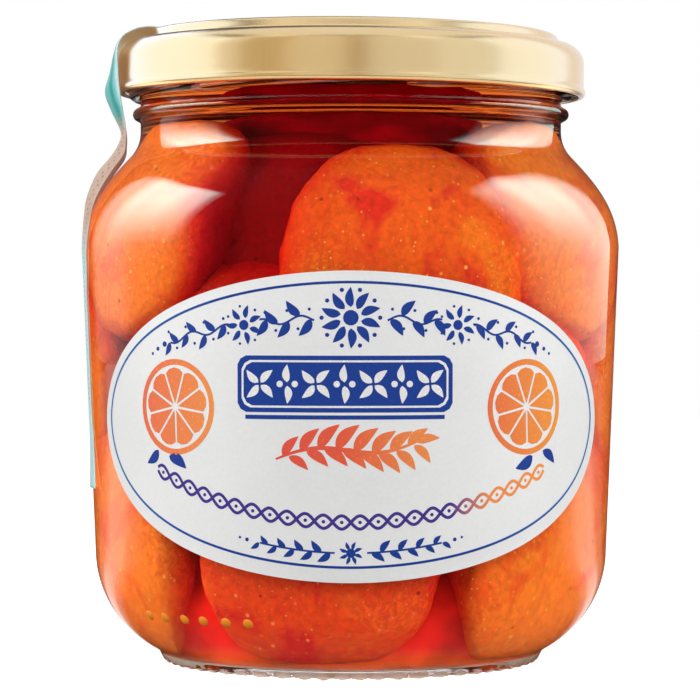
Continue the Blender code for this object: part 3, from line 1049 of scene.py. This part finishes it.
def vineAt(u):  # its height and slope
    v = printed["vineMiddle"] - printed["vineDrop"] * (u / 30) ** 2
    return v, math.degrees(math.atan(-2 * printed["vineDrop"] * u / 900))


def vineStemAt(u):
    return vineAt(u)[0] + 0.5 * math.sin(u * 1.1)


def cordAt(u):
    return printed["cordMiddle"] + printed["cordRise"] * (u / 33) ** 2


def footAt(u):
    return printed["footV"] + printed["footRise"] * (u / 13) ** 2


def turnedTo(side, degrees):  # the same turn, or its mirror image on the left
    return degrees if side > 0 else 180 - degrees


def ring(middle, reach, count, size, shift=0.5):  # motifs looking outward round a middle
    places = []
    for k in range(count):
        turn = 360 * (k + shift) / count
        x, y = reach * math.cos(math.radians(turn)), reach * math.sin(math.radians(turn))
        places.append((middle[0] + x, middle[1] + y, turn, size))
    return places


motifOutlines = {
    "leaf": leafOutline(2.9, 1.25, 0.22),
    "dot": discOutline(0.36),
    "stroke": leafOutline(4.4, 1.65, 0.35, 15),
    "slice": printed["slice"],
    "bigLeaf": leafOutline(5.2, 2.4, 0.5, 13),
}


def inked(ink, **places):  # by motif: u, v, turn in degrees and size of each
    things = []
    for kind, spots in places.items():
        motif = flatPiece(kind + "Motif", [motifOutlines[kind]], ink)
        spots = [((u, v, 0), (0, 0, math.radians(turn)), size) for u, v, turn, size in spots]
        things.append(repeated(f"{kind}s{ink}", motif, spots, inks[ink]))
        bpy.data.objects.remove(motif)
    return things


def printVine():
    leaves, dots, stems = [], [], []
    gap, reach = printed["vineGap"]
    for side in (-1, 1):
        for first, last in printed["vineStems"]:
            points = [(side * u, vineStemAt(u)) for u in np.linspace(first, last, 40)]
            stems += ribbon(points, 0.3)
        for i, u in enumerate(np.arange(*printed["vineLeaves"])):
            if abs(u - gap) < reach:
                continue
            v, slope = vineAt(u)
            up = 1 if i % 2 else -1
            lean = turnedTo(side, slope + up * 50)
            leaves.append((side * u, vineStemAt(u), lean, 1.12 - 0.013 * u))
            dots.append((side * (u + 0.3), v - up * 1.35, 0, 0.62))
        v, _ = vineAt(29.2)
        dots += [(side * u, v + drop, 0, size) for u, drop, size in printed["vineEnd"]]
    middle, leafReach, dotReach, dot = printed["flower"]
    for u, petals, size in printed["vineFlowers"]:
        v, _ = vineAt(u)
        dots.append((u, v, 0, middle * size))
        leaves += ring((u, v), leafReach * size, petals, size)
        dots += ring((u, v), dotReach * size, petals, dot * size, 0.0)
    return [flatPiece("stems", stems, "blueInk")] + inked("blueInk", leaf=leaves, dot=dots)


def platePoints(left, right, low, high):  # a plate with nicked corners
    nick, near = printed["bandNick"], printed["bandNick"] * 0.35
    quarter = [(nick, 0), (near, near), (0, nick)]
    points = [(right - x, low + y) for x, y in quarter]
    points += [(right - x, high - y) for x, y in quarter[::-1]]
    points += [(left + x, high - y) for x, y in quarter]
    return points + [(left + x, low + y) for x, y in quarter[::-1]]


def printBand():
    p = printed
    u, low, high = p["bandMiddle"], p["bandLow"], p["bandHigh"]
    left, right = u - p["bandHalf"], u + p["bandHalf"]
    plate, outside, inside = [
        platePoints(left + inset, right - inset, low + inset, high - inset)
        for inset in (0, *p["bandLine"])
    ]
    line = [(outside[i - 1], outside[i], inside[i], inside[i - 1]) for i in range(len(plate))]
    leaves, dots = [], []
    v = (low + high) / 2
    for k in range(7):
        u = p["bandMiddle"] + (k - 3) * p["bandPitch"]
        leaves += ring((u, v), 0.25, 4 if k % 2 == 0 else 2, 0.88)
        if k % 2:
            dots += [(u - 1.1, v, 0, 1.3), (u + 1.1, v, 0, 1.3)]
    pattern = [flatPiece("bandLine", line, "paperInk")] + inked("paperInk", leaf=leaves, dot=dots)
    shorter, foot, top = p["bar"]
    left, right, foot, top = left + shorter, right - shorter, low - foot, low - top
    bar = [(left, foot), (right, foot), (right, top), (left, top)]
    return [flatPiece("band", [plate, bar], "blueInk")], pattern


def printSpray():  # a laid branch of orange leaves under the band
    def stemAt(t):
        return -10.8 + 20.5 * t, -4.6 + 2.6 * t + 0.9 * math.sin(math.tau * t)

    places = []
    for k in range(8):
        t = 0.05 + k / 8
        u, v = stemAt(t)
        size = 0.8 + 0.3 * math.sin(math.pi * t)
        places += [(u, v, 52 - 14 * t, size), (u + 0.9, v, -34 - 14 * t, size * 0.92)]
    places.append((9.4, -2.1, 8, 0.8))
    widths = 0.30 + 0.35 * np.sin(np.linspace(0, math.pi, 40))
    stem = ribbon([stemAt(t) for t in np.linspace(0, 1, 40)], widths)
    return inked("sprayInk", stroke=places) + [flatPiece("sprayStem", stem, "sprayInk")]


def printWheels():  # a cut fruit over two leaves at each side
    slices, leaves, rims = [], [], []
    aside, v = printed["wheelMiddle"]
    (r, width), reach = printed["wheelRim"], printed["wheelLeafReach"]
    turns = np.linspace(0, math.tau, 49)
    for side in (-1, 1):
        u = side * aside
        rims += ribbon([(u + r * math.cos(t), v + r * math.sin(t)) for t in turns], width)
        slices += ring((u, v), 0, 9, 1.0, 0.3)
        for turn, lean, size in printed["wheelLeaves"]:
            at = math.radians(turnedTo(-side, turn))
            x, y = reach * math.cos(at), reach * math.sin(at)
            leaves.append((u + x, v + y, turnedTo(-side, lean), size))
    wheels = [flatPiece("rims", rims, "fruitInk")] + inked("fruitInk", slice=slices)
    return wheels + inked("blueInk", bigLeaf=leaves)


def printCord():  # a twisted cord under it all
    half = printed["cordHalf"]
    swing, pitch = printed["cordWave"]
    cords = []
    for shift in (0.0, math.pi):
        points = []
        for u in np.linspace(-half, half, 420):
            points.append((u, cordAt(u) + swing * math.sin(u * math.tau / pitch + shift)))
        cords.append(flatPiece("cord", ribbon(points, 0.46), "cordInk"))
    beads = [(k + 0.5) * pitch / 2 for k in range(-12, 12)]
    return cords + inked("cordInk", dot=[(u, cordAt(u), 0, 0.72) for u in beads])


def printFoot():  # a row of small leaves at the bottom
    leaves, dots, stems = [], [], []
    foot = printed["footV"]
    for side in (-1, 1):
        stems += ribbon([(side * u, footAt(u)) for u in np.linspace(2.3, 13.2, 30)], 0.28)
        for i, u in enumerate(np.arange(2.9, 13.4, 1.3)):
            lean = turnedTo(side, (42 if i % 2 else -42) + 8)
            leaves.append((side * u, footAt(u), lean, 0.8 - 0.03 * i))
        dots += [(side * u, foot + rise, 0, size) for u, rise, size in printed["footEnd"]]
    leaves += ring((0, foot), 0.55, 8, 0.42)
    dots.append((0, foot, 0, 1.9))
    return [flatPiece("footStems", stems, "blueInk")] + inked("blueInk", leaf=leaves, dot=dots)


def printBorder():
    outside, inside = printed["borderInset"], printed["borderInset"] + printed["borderWidth"]

    def lineAt(turn, inset):
        u, v = ovalPoint(turn, inset)
        return u, v + printed["borderUp"]

    quads = []
    turns = np.linspace(0, math.tau, 241)
    for a, b in zip(turns, turns[1:]):
        quads.append([lineAt(a, inside), lineAt(a, outside), lineAt(b, outside), lineAt(b, inside)])
    return [flatPiece("border", quads, "borderInk")]


makeLabel()
band, bandPattern = printBand()
below = printSpray() + printWheels() + printCord() + printFoot()
laidOnLabel(printBorder() + printVine() + band + below, "labelPrint", printed["lift"])
laidOnLabel(bandPattern, "labelBandPattern", printed["lift"] * 2)
print("label printed")


def outwardSpot(place, out, lift):  # for a motif that looks outward, a little off the surface
    return place + out * lift, tuple(out.to_track_quat("Z", "Y").to_euler()), 1.0


# Heel dots: small bumps moulded low on the glass, left of the middle; their opaque amber is
# painted, standing for the lit syrup seen through the clear glass

heelDots = {
    "azimuths": (-52.3, -46.6, -40.3, -34.8, -28.7, -23.2),
    "z": 9.0,
    "r": 0.80,
    "height": 0.28,
    "lift": 0.02,
    "colour": (0.98, 0.31, 0.03),
}


def makeHeelDots():
    look = {"Roughness": 0.35, "Base Color": heelDots["colour"], "Specular IOR Level": 0.2}
    material, _, _ = newMaterial("amberBumps", look)
    z, radius, height = heelDots["z"], heelDots["r"], heelDots["height"]
    turns = np.linspace(math.pi / 2, 0, 8)[1:]
    side = [(radius * math.cos(t), height * math.sin(t)) for t in turns]
    motif = turned("heelDot", [(0, height)] + side + [(0, 0)], 20, material)
    r = float(radiusOn(outer, z))
    fall = (float(radiusOn(outer, z + 0.5)) - r) / 0.5
    spots = []
    for azimuth in heelDots["azimuths"]:
        turn = math.radians(azimuth)
        out = Vector(roundAxis(turn, 1, -fall)).normalized()
        spots.append(outwardSpot(Vector(roundAxis(turn, r, z)), out, heelDots["lift"]))
    dots = repeated("heelDots", motif, spots, material)
    bpy.data.objects.remove(motif)
    dots.data.shade_smooth()
    dress(dots, "glass_jar")


makeHeelDots()

# Seal strip: thin teal paper from the lid's top over its edge and down the jar's side

strip = {
    "width": 18.0,
    "azimuth": -86,
    "paper": 0.14,
    "gap": 0.05,
    "across": 24,
    "rows": 220,
    "slant": [(26, 0), (31, -1.0), (38, -2.4), (56, -2.4), (62, -1.0), (67, 0)],  # aside by height
    "holeRows": ((0, 6.2), (0.5, 7.3)),  # shift and place across
    "holeHeights": (84.0, 40.0),
    "holePitch": 1.45,
    "holeR": 0.17,
    "holeLift": 0.02,
    # The beige is painted light: the jar's orange showing through the thin paper
    "tones": ((84.5, 81.0, "seenThroughBeige"), (68.0, 62.0, "pale")),  # each turns so from here to there
    "teal": (0.15, 0.55, 0.53),
    # crease: painted shade, a darker teal line along the strip's crease
    "crease": (0.012, 0.36, 0.33),
    "aqua": (0.60, 0.86, 0.86),
    "seenThroughBeige": (0.60, 0.41, 0.31),
    "pale": (0.56, 0.82, 0.80),
    "creaseAt": 0.80,
}
# The way down of its inner face: radius, height, and 1 where it follows the jar round, 0 flat
stripWay = [
    (23.0, 96.62, 0.0),
    (28.6, 96.66, 0.0),
    (30.6, 97.32, 0.1),
    (32.0, 97.34, 0.1),
    (33.7, 97.0, 0.2),
    (35.8, 95.9, 0.4),
    (36.7, 94.0, 0.5),
    (37.4, 90.8, 1.2),
    (38.1, 88.0, 2.1),
    (37.2, 85.3, 1.6),
    (35.7, 82.0, 0.7),
    (35.9, 80.2, 0.9),
    (37.2, 78.0, 1.8),
    (39.4, 75.3, 2.2),
    (40.9, 71.8, 1.7),
    (41.4, 68.6, 1.2),
]
for height in np.arange(64.0, 26.9, -3.7):
    loose = strip["gap"] + 0.3 * max(0, 1 - (height - 27) / 6)  # its lower end has come off
    stripWay.append((float(radiusOn(outer, height)) + loose, float(height), 1.0))


def smoothLine(points, steps):  # a smooth line through points
    line = np.array(points, float)
    ends = np.concatenate([[2 * line[0] - line[1]], line, [2 * line[-1] - line[-2]]])
    out = []
    for a, b, c, d in zip(ends, ends[1:], ends[2:], ends[3:]):
        second, third = 2 * a - 5 * b + 4 * c - d, 3 * b - a - 3 * c + d
        for t in np.linspace(0, 1, steps, endpoint=False):
            out.append(0.5 * (2 * b + (c - a) * t + second * t * t + third * t**3))
    return np.array(out + [line[-1]])


stripLine = evenly(smoothLine(stripWay, 8), strip["rows"])
stripLength = float(np.linalg.norm(np.diff(stripLine[:, :2], axis=0), axis=1).sum())
stripOut = Vector(roundAxis(math.radians(strip["azimuth"]), 1, 0))
stripSide = Vector((0, 0, 1)).cross(stripOut)
lidTop = [point for point in lidProfile() if point[1] > lid["baseZ"] + 9]
lidTop = np.array(lidTop[: 1 + int(np.argmax([r for r, z in lidTop]))])
lidLean = math.sin(math.radians(lid["tilt"]))


def onStrip(along, across):  # along from 0 at the lid to 1, across in mm
    at = along * (strip["rows"] - 1)
    r, z, follow = (float(np.interp(at, np.arange(strip["rows"]), side)) for side in stripLine.T)
    if z < 90:
        across += float(np.interp(z, *zip(*strip["slant"])))
    drop = follow * (r - math.sqrt(max(r * r - across * across, 0)))
    point = stripOut * (r - drop) + stripSide * across + Vector((0, 0, z))
    reach = math.hypot(point.x, point.y)
    if z > 90 and reach < lid["rimR"] + 0.4:  # over the lid's rim, not through it
        rim = float(np.interp(reach, *lidTop.T)) - lidLean * point.x
        point.z = max(z, rim + strip["gap"])
    return point


def stripNormal(along, across):
    down = onStrip(min(along + 0.002, 1), across) - onStrip(max(along - 0.002, 0), across)
    aside = onStrip(along, across + 0.1) - onStrip(along, across - 0.1)
    return aside.cross(-down).normalized()


def makeStrip():
    vertices, faces, spots = [], [], []
    rows, across, width = strip["rows"], strip["across"], strip["width"]
    columns = across + 1
    for layer in (strip["paper"], 0):
        for i in range(rows):
            for k in range(columns):
                along, aside = i / (rows - 1), width * (k / across - 0.5)
                spots.append((aside / width + 0.5, along * stripLength / width))
                vertices.append(onStrip(along, aside) + stripNormal(along, aside) * layer)
    back = rows * columns
    for i in range(rows - 1):
        for a in range(i * columns, i * columns + across):
            quad = (a, a + columns, a + columns + 1, a + 1)
            faces += [quad, tuple(back + corner for corner in quad[::-1])]
    edge = [*range(columns), *range(2 * columns - 1, back, columns)]
    edge += [*range(back - 2, back - columns - 1, -1), *range(back - 2 * columns, 0, -columns)]
    faces += [(a, b, back + b, back + a) for a, b in zip(edge, edge[1:] + edge[:1])]
    piece = meshObject("sealStrip", vertices, faces, tealMaterial(), backMaterial())
    unwrap(piece, spots)
    whole = bmesh.new()
    whole.from_mesh(piece.data)
    bmesh.ops.recalc_face_normals(whole, faces=whole.faces)
    whole.to_mesh(piece.data)
    whole.free()
    for face in piece.data.polygons:
        face.material_index = int(min(face.vertices) >= back)
    dress(piece, "seal_strip")


def alongAt(height):  # the share of the strip's way where it is at this height, past the lid
    edge = int(strip["rows"] * 0.12)
    rows = np.arange(edge, strip["rows"])
    return float(np.interp(-height, -stripLine[edge:, 1], rows)) / (strip["rows"] - 1)


def tealMaterial():
    material, tree, shader = newMaterial("tealPaper", {"Roughness": 0.45})
    place, fold = coordinates(tree), strip["creaseAt"]
    parts = partsOf(tree, coordinates(tree, "UV"))
    wobble = spread(tree, noiseOn(tree, place, 90, 2, 0.5), 0.3, 0.7, -0.10, 0.10)
    across = maths(tree, "ADD", parts[0], wobble)
    # Painted shade along the crease
    stops = [(fold - 0.09, 0), (fold - 0.02, 1), (fold + 0.02, 1), (fold + 0.05, 0)]
    upper = mixColours(tree, ramp(tree, across, stops), strip["teal"], strip["crease"])
    sides = ramp(tree, across, [(0.0, 0), (0.1, 0.8), (0.2, 1), (0.88, 1), (0.97, 0.15)])
    colour = mixColours(tree, sides, strip["aqua"], upper)
    along = maths(tree, "MULTIPLY", parts[1], strip["width"] / stripLength)
    for start, end, tone in strip["tones"]:
        share = ramp(tree, along, [(alongAt(start), 0), (alongAt(end), 1)])
        colour = mixColours(tree, share, colour, strip[tone])
    fibres = ramp(tree, noiseOn(tree, place, 700, 4, 0.6), [(0.35, 0.9), (0.65, 1.06)])
    fill(tree, shader, {"Base Color": mixColours(tree, 1, colour, fibres, "MULTIPLY")})
    return material


def backMaterial():
    material, tree, shader = newMaterial("stripBack", {"Roughness": 0.6})
    fibres = noiseOn(tree, coordinates(tree), 1500, 3, 0.6)
    tones = [(0.35, (0.80, 0.78, 0.70)), (0.65, (0.88, 0.86, 0.80))]
    fill(tree, shader, {"Base Color": ramp(tree, fibres, tones)})
    return material


def makeStripDots():  # two rows of pinholes near the front edge, from the lid down to the label
    # The dark discs are painted shade, standing for the holes
    look = {"Base Color": (0.10, 0.03, 0.02), "Roughness": 0.8}
    material, _, _ = newMaterial("pinholes", look)
    circle = discOutline(strip["holeR"], 10)
    motif = meshObject("pinhole", [(x, y, 0) for x, y in circle], [range(10)])
    first, last = (alongAt(height) for height in strip["holeHeights"])
    count = int((last - first) * stripLength / strip["holePitch"])
    spots = []
    for shift, across in strip["holeRows"]:
        for i in range(count):
            along = first + (last - first) * (i + shift) / count
            out = stripNormal(along, across)
            lift = strip["paper"] + strip["holeLift"]
            spots.append(outwardSpot(onStrip(along, across), out, lift))
    dots = repeated("sealStripDots", motif, spots, material)
    bpy.data.objects.remove(motif)
    dress(dots, "seal_strip")


makeStrip()
makeStripDots()
print("seal strip made")

# Studio: white floor and surroundings, a tall soft box at each side and broad weak panels

studio = {
    "surround": 0.035,  # what gloss sees between the boxes
    "boxTint": (0.62, 1.0, 0.93),
    "floor": 0.85,
    "floorUnseen": 0.03,
    "floorGlow": 0.6,
    "floorR": 900,
    # How bright gloss sees the floor, by azimuth
    "mirrored": [(0, 0), (92, 0), (102, 0.35), (112, 1.05), (122, 1.0), (134, 0.2), (148, 0)],
    "eye": (-0.125, -453, 55.9),
    "eyeTilt": 89,
    "lens": 36 * 2900 / 700,  # of a 36 mm film
}
# name: azimuth, distance, height of its middle, width, height, radiance, what it lights, tint
panels = {
    "lidLeft": (-114, 500, 300, 1035, 800, 1.25, "lid", (1, 1.38, 2.5)),
    "lidLeftEdge": (-61, 500, 300, 123, 800, 0.84, "lid", (1, 1.2, 1.7)),
    "lidFrontLeft": (-41.5, 500, 300, 222, 800, 0.57, "lid", (1, 1.0, 0.97)),
    "lidFrontMiddle": (-15.5, 500, 300, 251, 800, 0.76, "lid", (1, 1.15, 1.5)),
    "lidCard": (2.7, 500, 300, 74, 800, 0.41, "lid", (1, 0.92, 0.85)),
    "lidFrontRight": (24.5, 500, 300, 315, 800, 0.77, "lid", (1, 1.22, 1.8)),
    "lidRightEdge": (57, 500, 300, 270, 800, 0.86, "lid", (1, 1.28, 2.0)),
    "lidRight": (101.5, 500, 300, 540, 800, 1.14, "lid", (1, 1.38, 2.5)),
    "lidRightEnd": (152.5, 500, 300, 414, 800, 0.90, "lid", (1, 1.1, 1.32)),
    "lidTop": (0, 0, 1100, 1400, 1400, 0.86, "lid", (1, 1.25, 1.9)),
    "lidBelow": (0, 0, 0.4, 500, 500, 0.9, "lid", (1, 1.1, 1.4)),
    "cakeLeft": (-66, 800, 250, 700, 900, 3.1, "cake", (1, 0.95, 0.6)),
    "cakeRight": (66, 800, 250, 700, 900, 3.0, "cake", (1, 0.95, 0.6)),
    "sideLeft": (-80, 700, 300, 700, 900, 3.4, "matt", (1, 1, 1)),
    "sideRight": (80, 700, 300, 700, 900, 3.4, "matt", (1, 1, 1)),
    "front": (0, 900, 200, 1500, 900, 2.42, "matt", (1, 1, 1)),
    "back": (180, 900, 200, 1500, 900, 0.8, "matt", (1, 1, 1)),
    "top": (0, 0, 1100, 900, 900, 0.8, "matt", (1, 1, 1)),
    "below": (0, 0, 0.4, 300, 300, 5.0, "cake", (1, 1, 1)),
}
# The soft boxes that the glass mirrors: how each stands on the floor plan from its far end with
# its top edge's height, radiance, how it fades along, near the floor and upward, and how softly
# it ends above
softBoxes = {
    "glassLeft": {
        "way": [(-700, 1000), (-700, 929), (-700, 676), (-700, 437), (-700, 188), (-700, -215)],
        "tops": [500, 564, 692, 738, 757, 870],
        "radiance": 12.8,
        "along": [(0.0, 0.03), (0.3, 0.2), (0.55, 0.72), (0.75, 1.0), (0.9, 0.75), (1.0, 0.1)],
        "low": [(0.0, 0.01), (0.3, 0.08), (0.55, 0.12), (0.75, 0.02), (1.0, 0.0)],
        "upward": [(0.0, 0.0), (0.1, 0.05), (0.2, 0.2), (0.34, 0.55), (0.5, 0.88), (0.62, 1.0)],
        "soft": 70,
    },
    "glassRight": {
        "way": [(700, 950), (700, 805), (700, 547), (700, 312), (700, 149), (700, -310)],
        "tops": [470, 570, 732, 825, 932, 950],
        "radiance": 12.5,
        "along": [(0.0, 0.10), (0.25, 0.28), (0.5, 0.72), (0.66, 0.9), (0.8, 0.5), (1.0, 0.0)],
        "low": [(0.0, 0.2), (0.4, 0.2), (0.75, 0.12), (1.0, 0.0)],
        "upward": [(0.0, 0.0), (0.1, 0.08), (0.2, 0.25), (0.34, 0.6), (0.5, 0.9), (0.62, 1.0)],
        "soft": 170,
    },
}


def glowMaterial(name, box):
    material = bpy.data.materials.new(name)
    material.use_nodes = True
    tree = material.node_tree
    tree.nodes.remove(tree.nodes["Principled BSDF"])
    parts = partsOf(tree, coordinates(tree, "UV"))
    along, low = (ramp(tree, parts[0], box[kind], "EASE") for kind in ("along", "low"))
    shade = mixColours(tree, ramp(tree, parts[1], box["upward"]), low, along)
    foot = ramp(tree, parts[1], [(0.0, 0.4), (0.08, 1)])
    for share in (foot, valueOf(tree, "edge"), box["radiance"]):
        shade = maths(tree, "MULTIPLY", shade, share)
    inputs = {"Color": studio["boxTint"], "Strength": shade}
    glow = newNode(tree, "ShaderNodeEmission", inputs)
    fill(tree, tree.nodes["Material Output"], {"Surface": glow.outputs[0]})
    return material


def makeSoftBox(name, box):
    way, n = box["way"], len(box["way"])
    steps = [math.dist(a, b) for a, b in zip(way, way[1:])]
    rises = {-1: 1.0, -0.5: 1.0, 0: 0.6, 0.5: 0.0}  # from the floor to a soft top edge
    vertices, spots, edge = [], [], []
    for rise, share in rises.items():
        for i, ((x, y), top) in enumerate(zip(way, box["tops"])):
            height = top + rise * box["soft"] if rise > -1 else 0
            vertices.append((x, y, height))
            spots.append((sum(steps[:i]) / sum(steps), height / 1000))
            edge.append(share)
    quad = (0, 1, n + 1, n)
    faces = [[r * n + i + corner for corner in quad] for r in range(3) for i in range(n - 1)]
    piece = meshObject(name, vertices, faces, glowMaterial(name, box))
    unwrap(piece, spots)
    mark(piece, "edge", edge)
    piece.visible_camera = piece.visible_shadow = piece.visible_diffuse = False
    piece.visible_transmission = False
    piece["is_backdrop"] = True
    return piece


def seenStraight(tree):  # 1 for what the camera sees, also through glass
    path = newNode(tree, "ShaderNodeLightPath").outputs
    return path, maths(tree, "MAXIMUM", path["Is Camera Ray"], path["Is Transmission Ray"])


def makeSurround(scene):
    scene.world = bpy.data.worlds.new("studio")
    scene.world.use_nodes = True
    tree = scene.world.node_tree
    path, seen = seenStraight(tree)
    seen = maths(tree, "MULTIPLY", seen, maths(tree, "LESS_THAN", path["Diffuse Depth"], 0.5))
    colour = mixColours(tree, seen, (studio["surround"],) * 3, white)
    fill(tree, tree.nodes["Background"], {"Color": colour})


def makeFloor():
    look = {"Roughness": 0.7, "Emission Color": white, "Specular IOR Level": 0.0}
    material, tree, shader = newMaterial("paleFloor", look)
    path, seen = seenStraight(tree)
    shade = mixColours(tree, seen, (studio["floorUnseen"],) * 3, (studio["floor"],) * 3)
    x, y, _ = partsOf(tree, coordinates(tree))
    back = maths(tree, "ARCTAN2", maths(tree, "ABSOLUTE", x), y)
    most = max(value for turn, value in studio["mirrored"])
    stops = [(1 - turn / 180, value / most) for turn, value in reversed(studio["mirrored"])]
    mirrored = ramp(tree, maths(tree, "DIVIDE", back, math.pi), stops, "EASE")
    mirrored = maths(tree, "MULTIPLY", mirrored, most)
    mirrored = maths(tree, "MULTIPLY", mirrored, path["Is Glossy Ray"])
    glow = maths(tree, "ADD", maths(tree, "MULTIPLY", seen, studio["floorGlow"]), mirrored)
    fill(tree, shader, {"Base Color": shade, "Emission Strength": glow})
    floor = turned("floor", [(0, 0), (studio["floorR"], 0)], 64, material)
    floor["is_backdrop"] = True
    return floor


def makePanel(name, azimuth, distance, height, width, tall, radiance, tint):
    lamp = bpy.data.lights.new(name, "AREA")
    lamp.color = tint
    lamp.shape = "RECTANGLE"
    lamp.size, lamp.size_y = width * mm, tall * mm
    lamp.energy = radiance * math.pi * lamp.size * lamp.size_y
    holder = placed(name, lamp)
    turn = math.radians(azimuth)
    holder.location = Vector(roundAxis(turn, distance, height)) * mm
    facing = -Vector(roundAxis(turn, 1, 0))
    if distance == 0:  # overhead, or on the floor and looking up
        facing = Vector((0, 0, -1 if height > 100 else 1))
    holder.rotation_mode = "QUATERNION"
    holder.rotation_quaternion = facing.to_track_quat("-Z", "Y")
    holder.visible_camera = False
    return holder


def makeLamps(scene, floor):  # each lights one group: clear things, the lid, cakes or the rest
    clear = {"jarGlass", "redSyrup", "jarThreads"}
    groups = {kind: bpy.data.collections.new(kind) for kind in ("clear", "lid", "matt", "cake")}
    for group in groups.values():
        scene.collection.children.link(group)
    for thing in [*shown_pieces(), floor]:
        kind = "clear" if thing.name in clear else "lid" if thing.name == "twistOffLid" else "matt"
        groups[kind].objects.link(thing)
        if thing.name.startswith(("baba", "standing")):
            groups["cake"].objects.link(thing)
    bpy.data.objects["sealStrip"].visible_shadow = False  # thin paper that light comes through
    for name, box in softBoxes.items():
        makeSoftBox(name, box).light_linking.receiver_collection = groups["clear"]
    for name, (*place, kind, tint) in panels.items():
        makePanel(name, *place, tint).light_linking.receiver_collection = groups[kind]


def makeCamera(scene):
    camera = bpy.data.cameras.new("camera")
    camera.sensor_width = 36
    camera.lens = studio["lens"]
    camera.clip_start, camera.clip_end = 0.01, 20
    scene.camera = placed("camera", camera)
    scene.camera.location = Vector(studio["eye"]) * mm
    scene.camera.rotation_euler = (math.radians(studio["eyeTilt"]), 0, 0)


def makeStudio():
    scene = bpy.context.scene
    scene.view_settings.view_transform = "Standard"
    makeSurround(scene)
    makeLamps(scene, makeFloor())
    makeCamera(scene)
    print("studio made")


makeStudio()
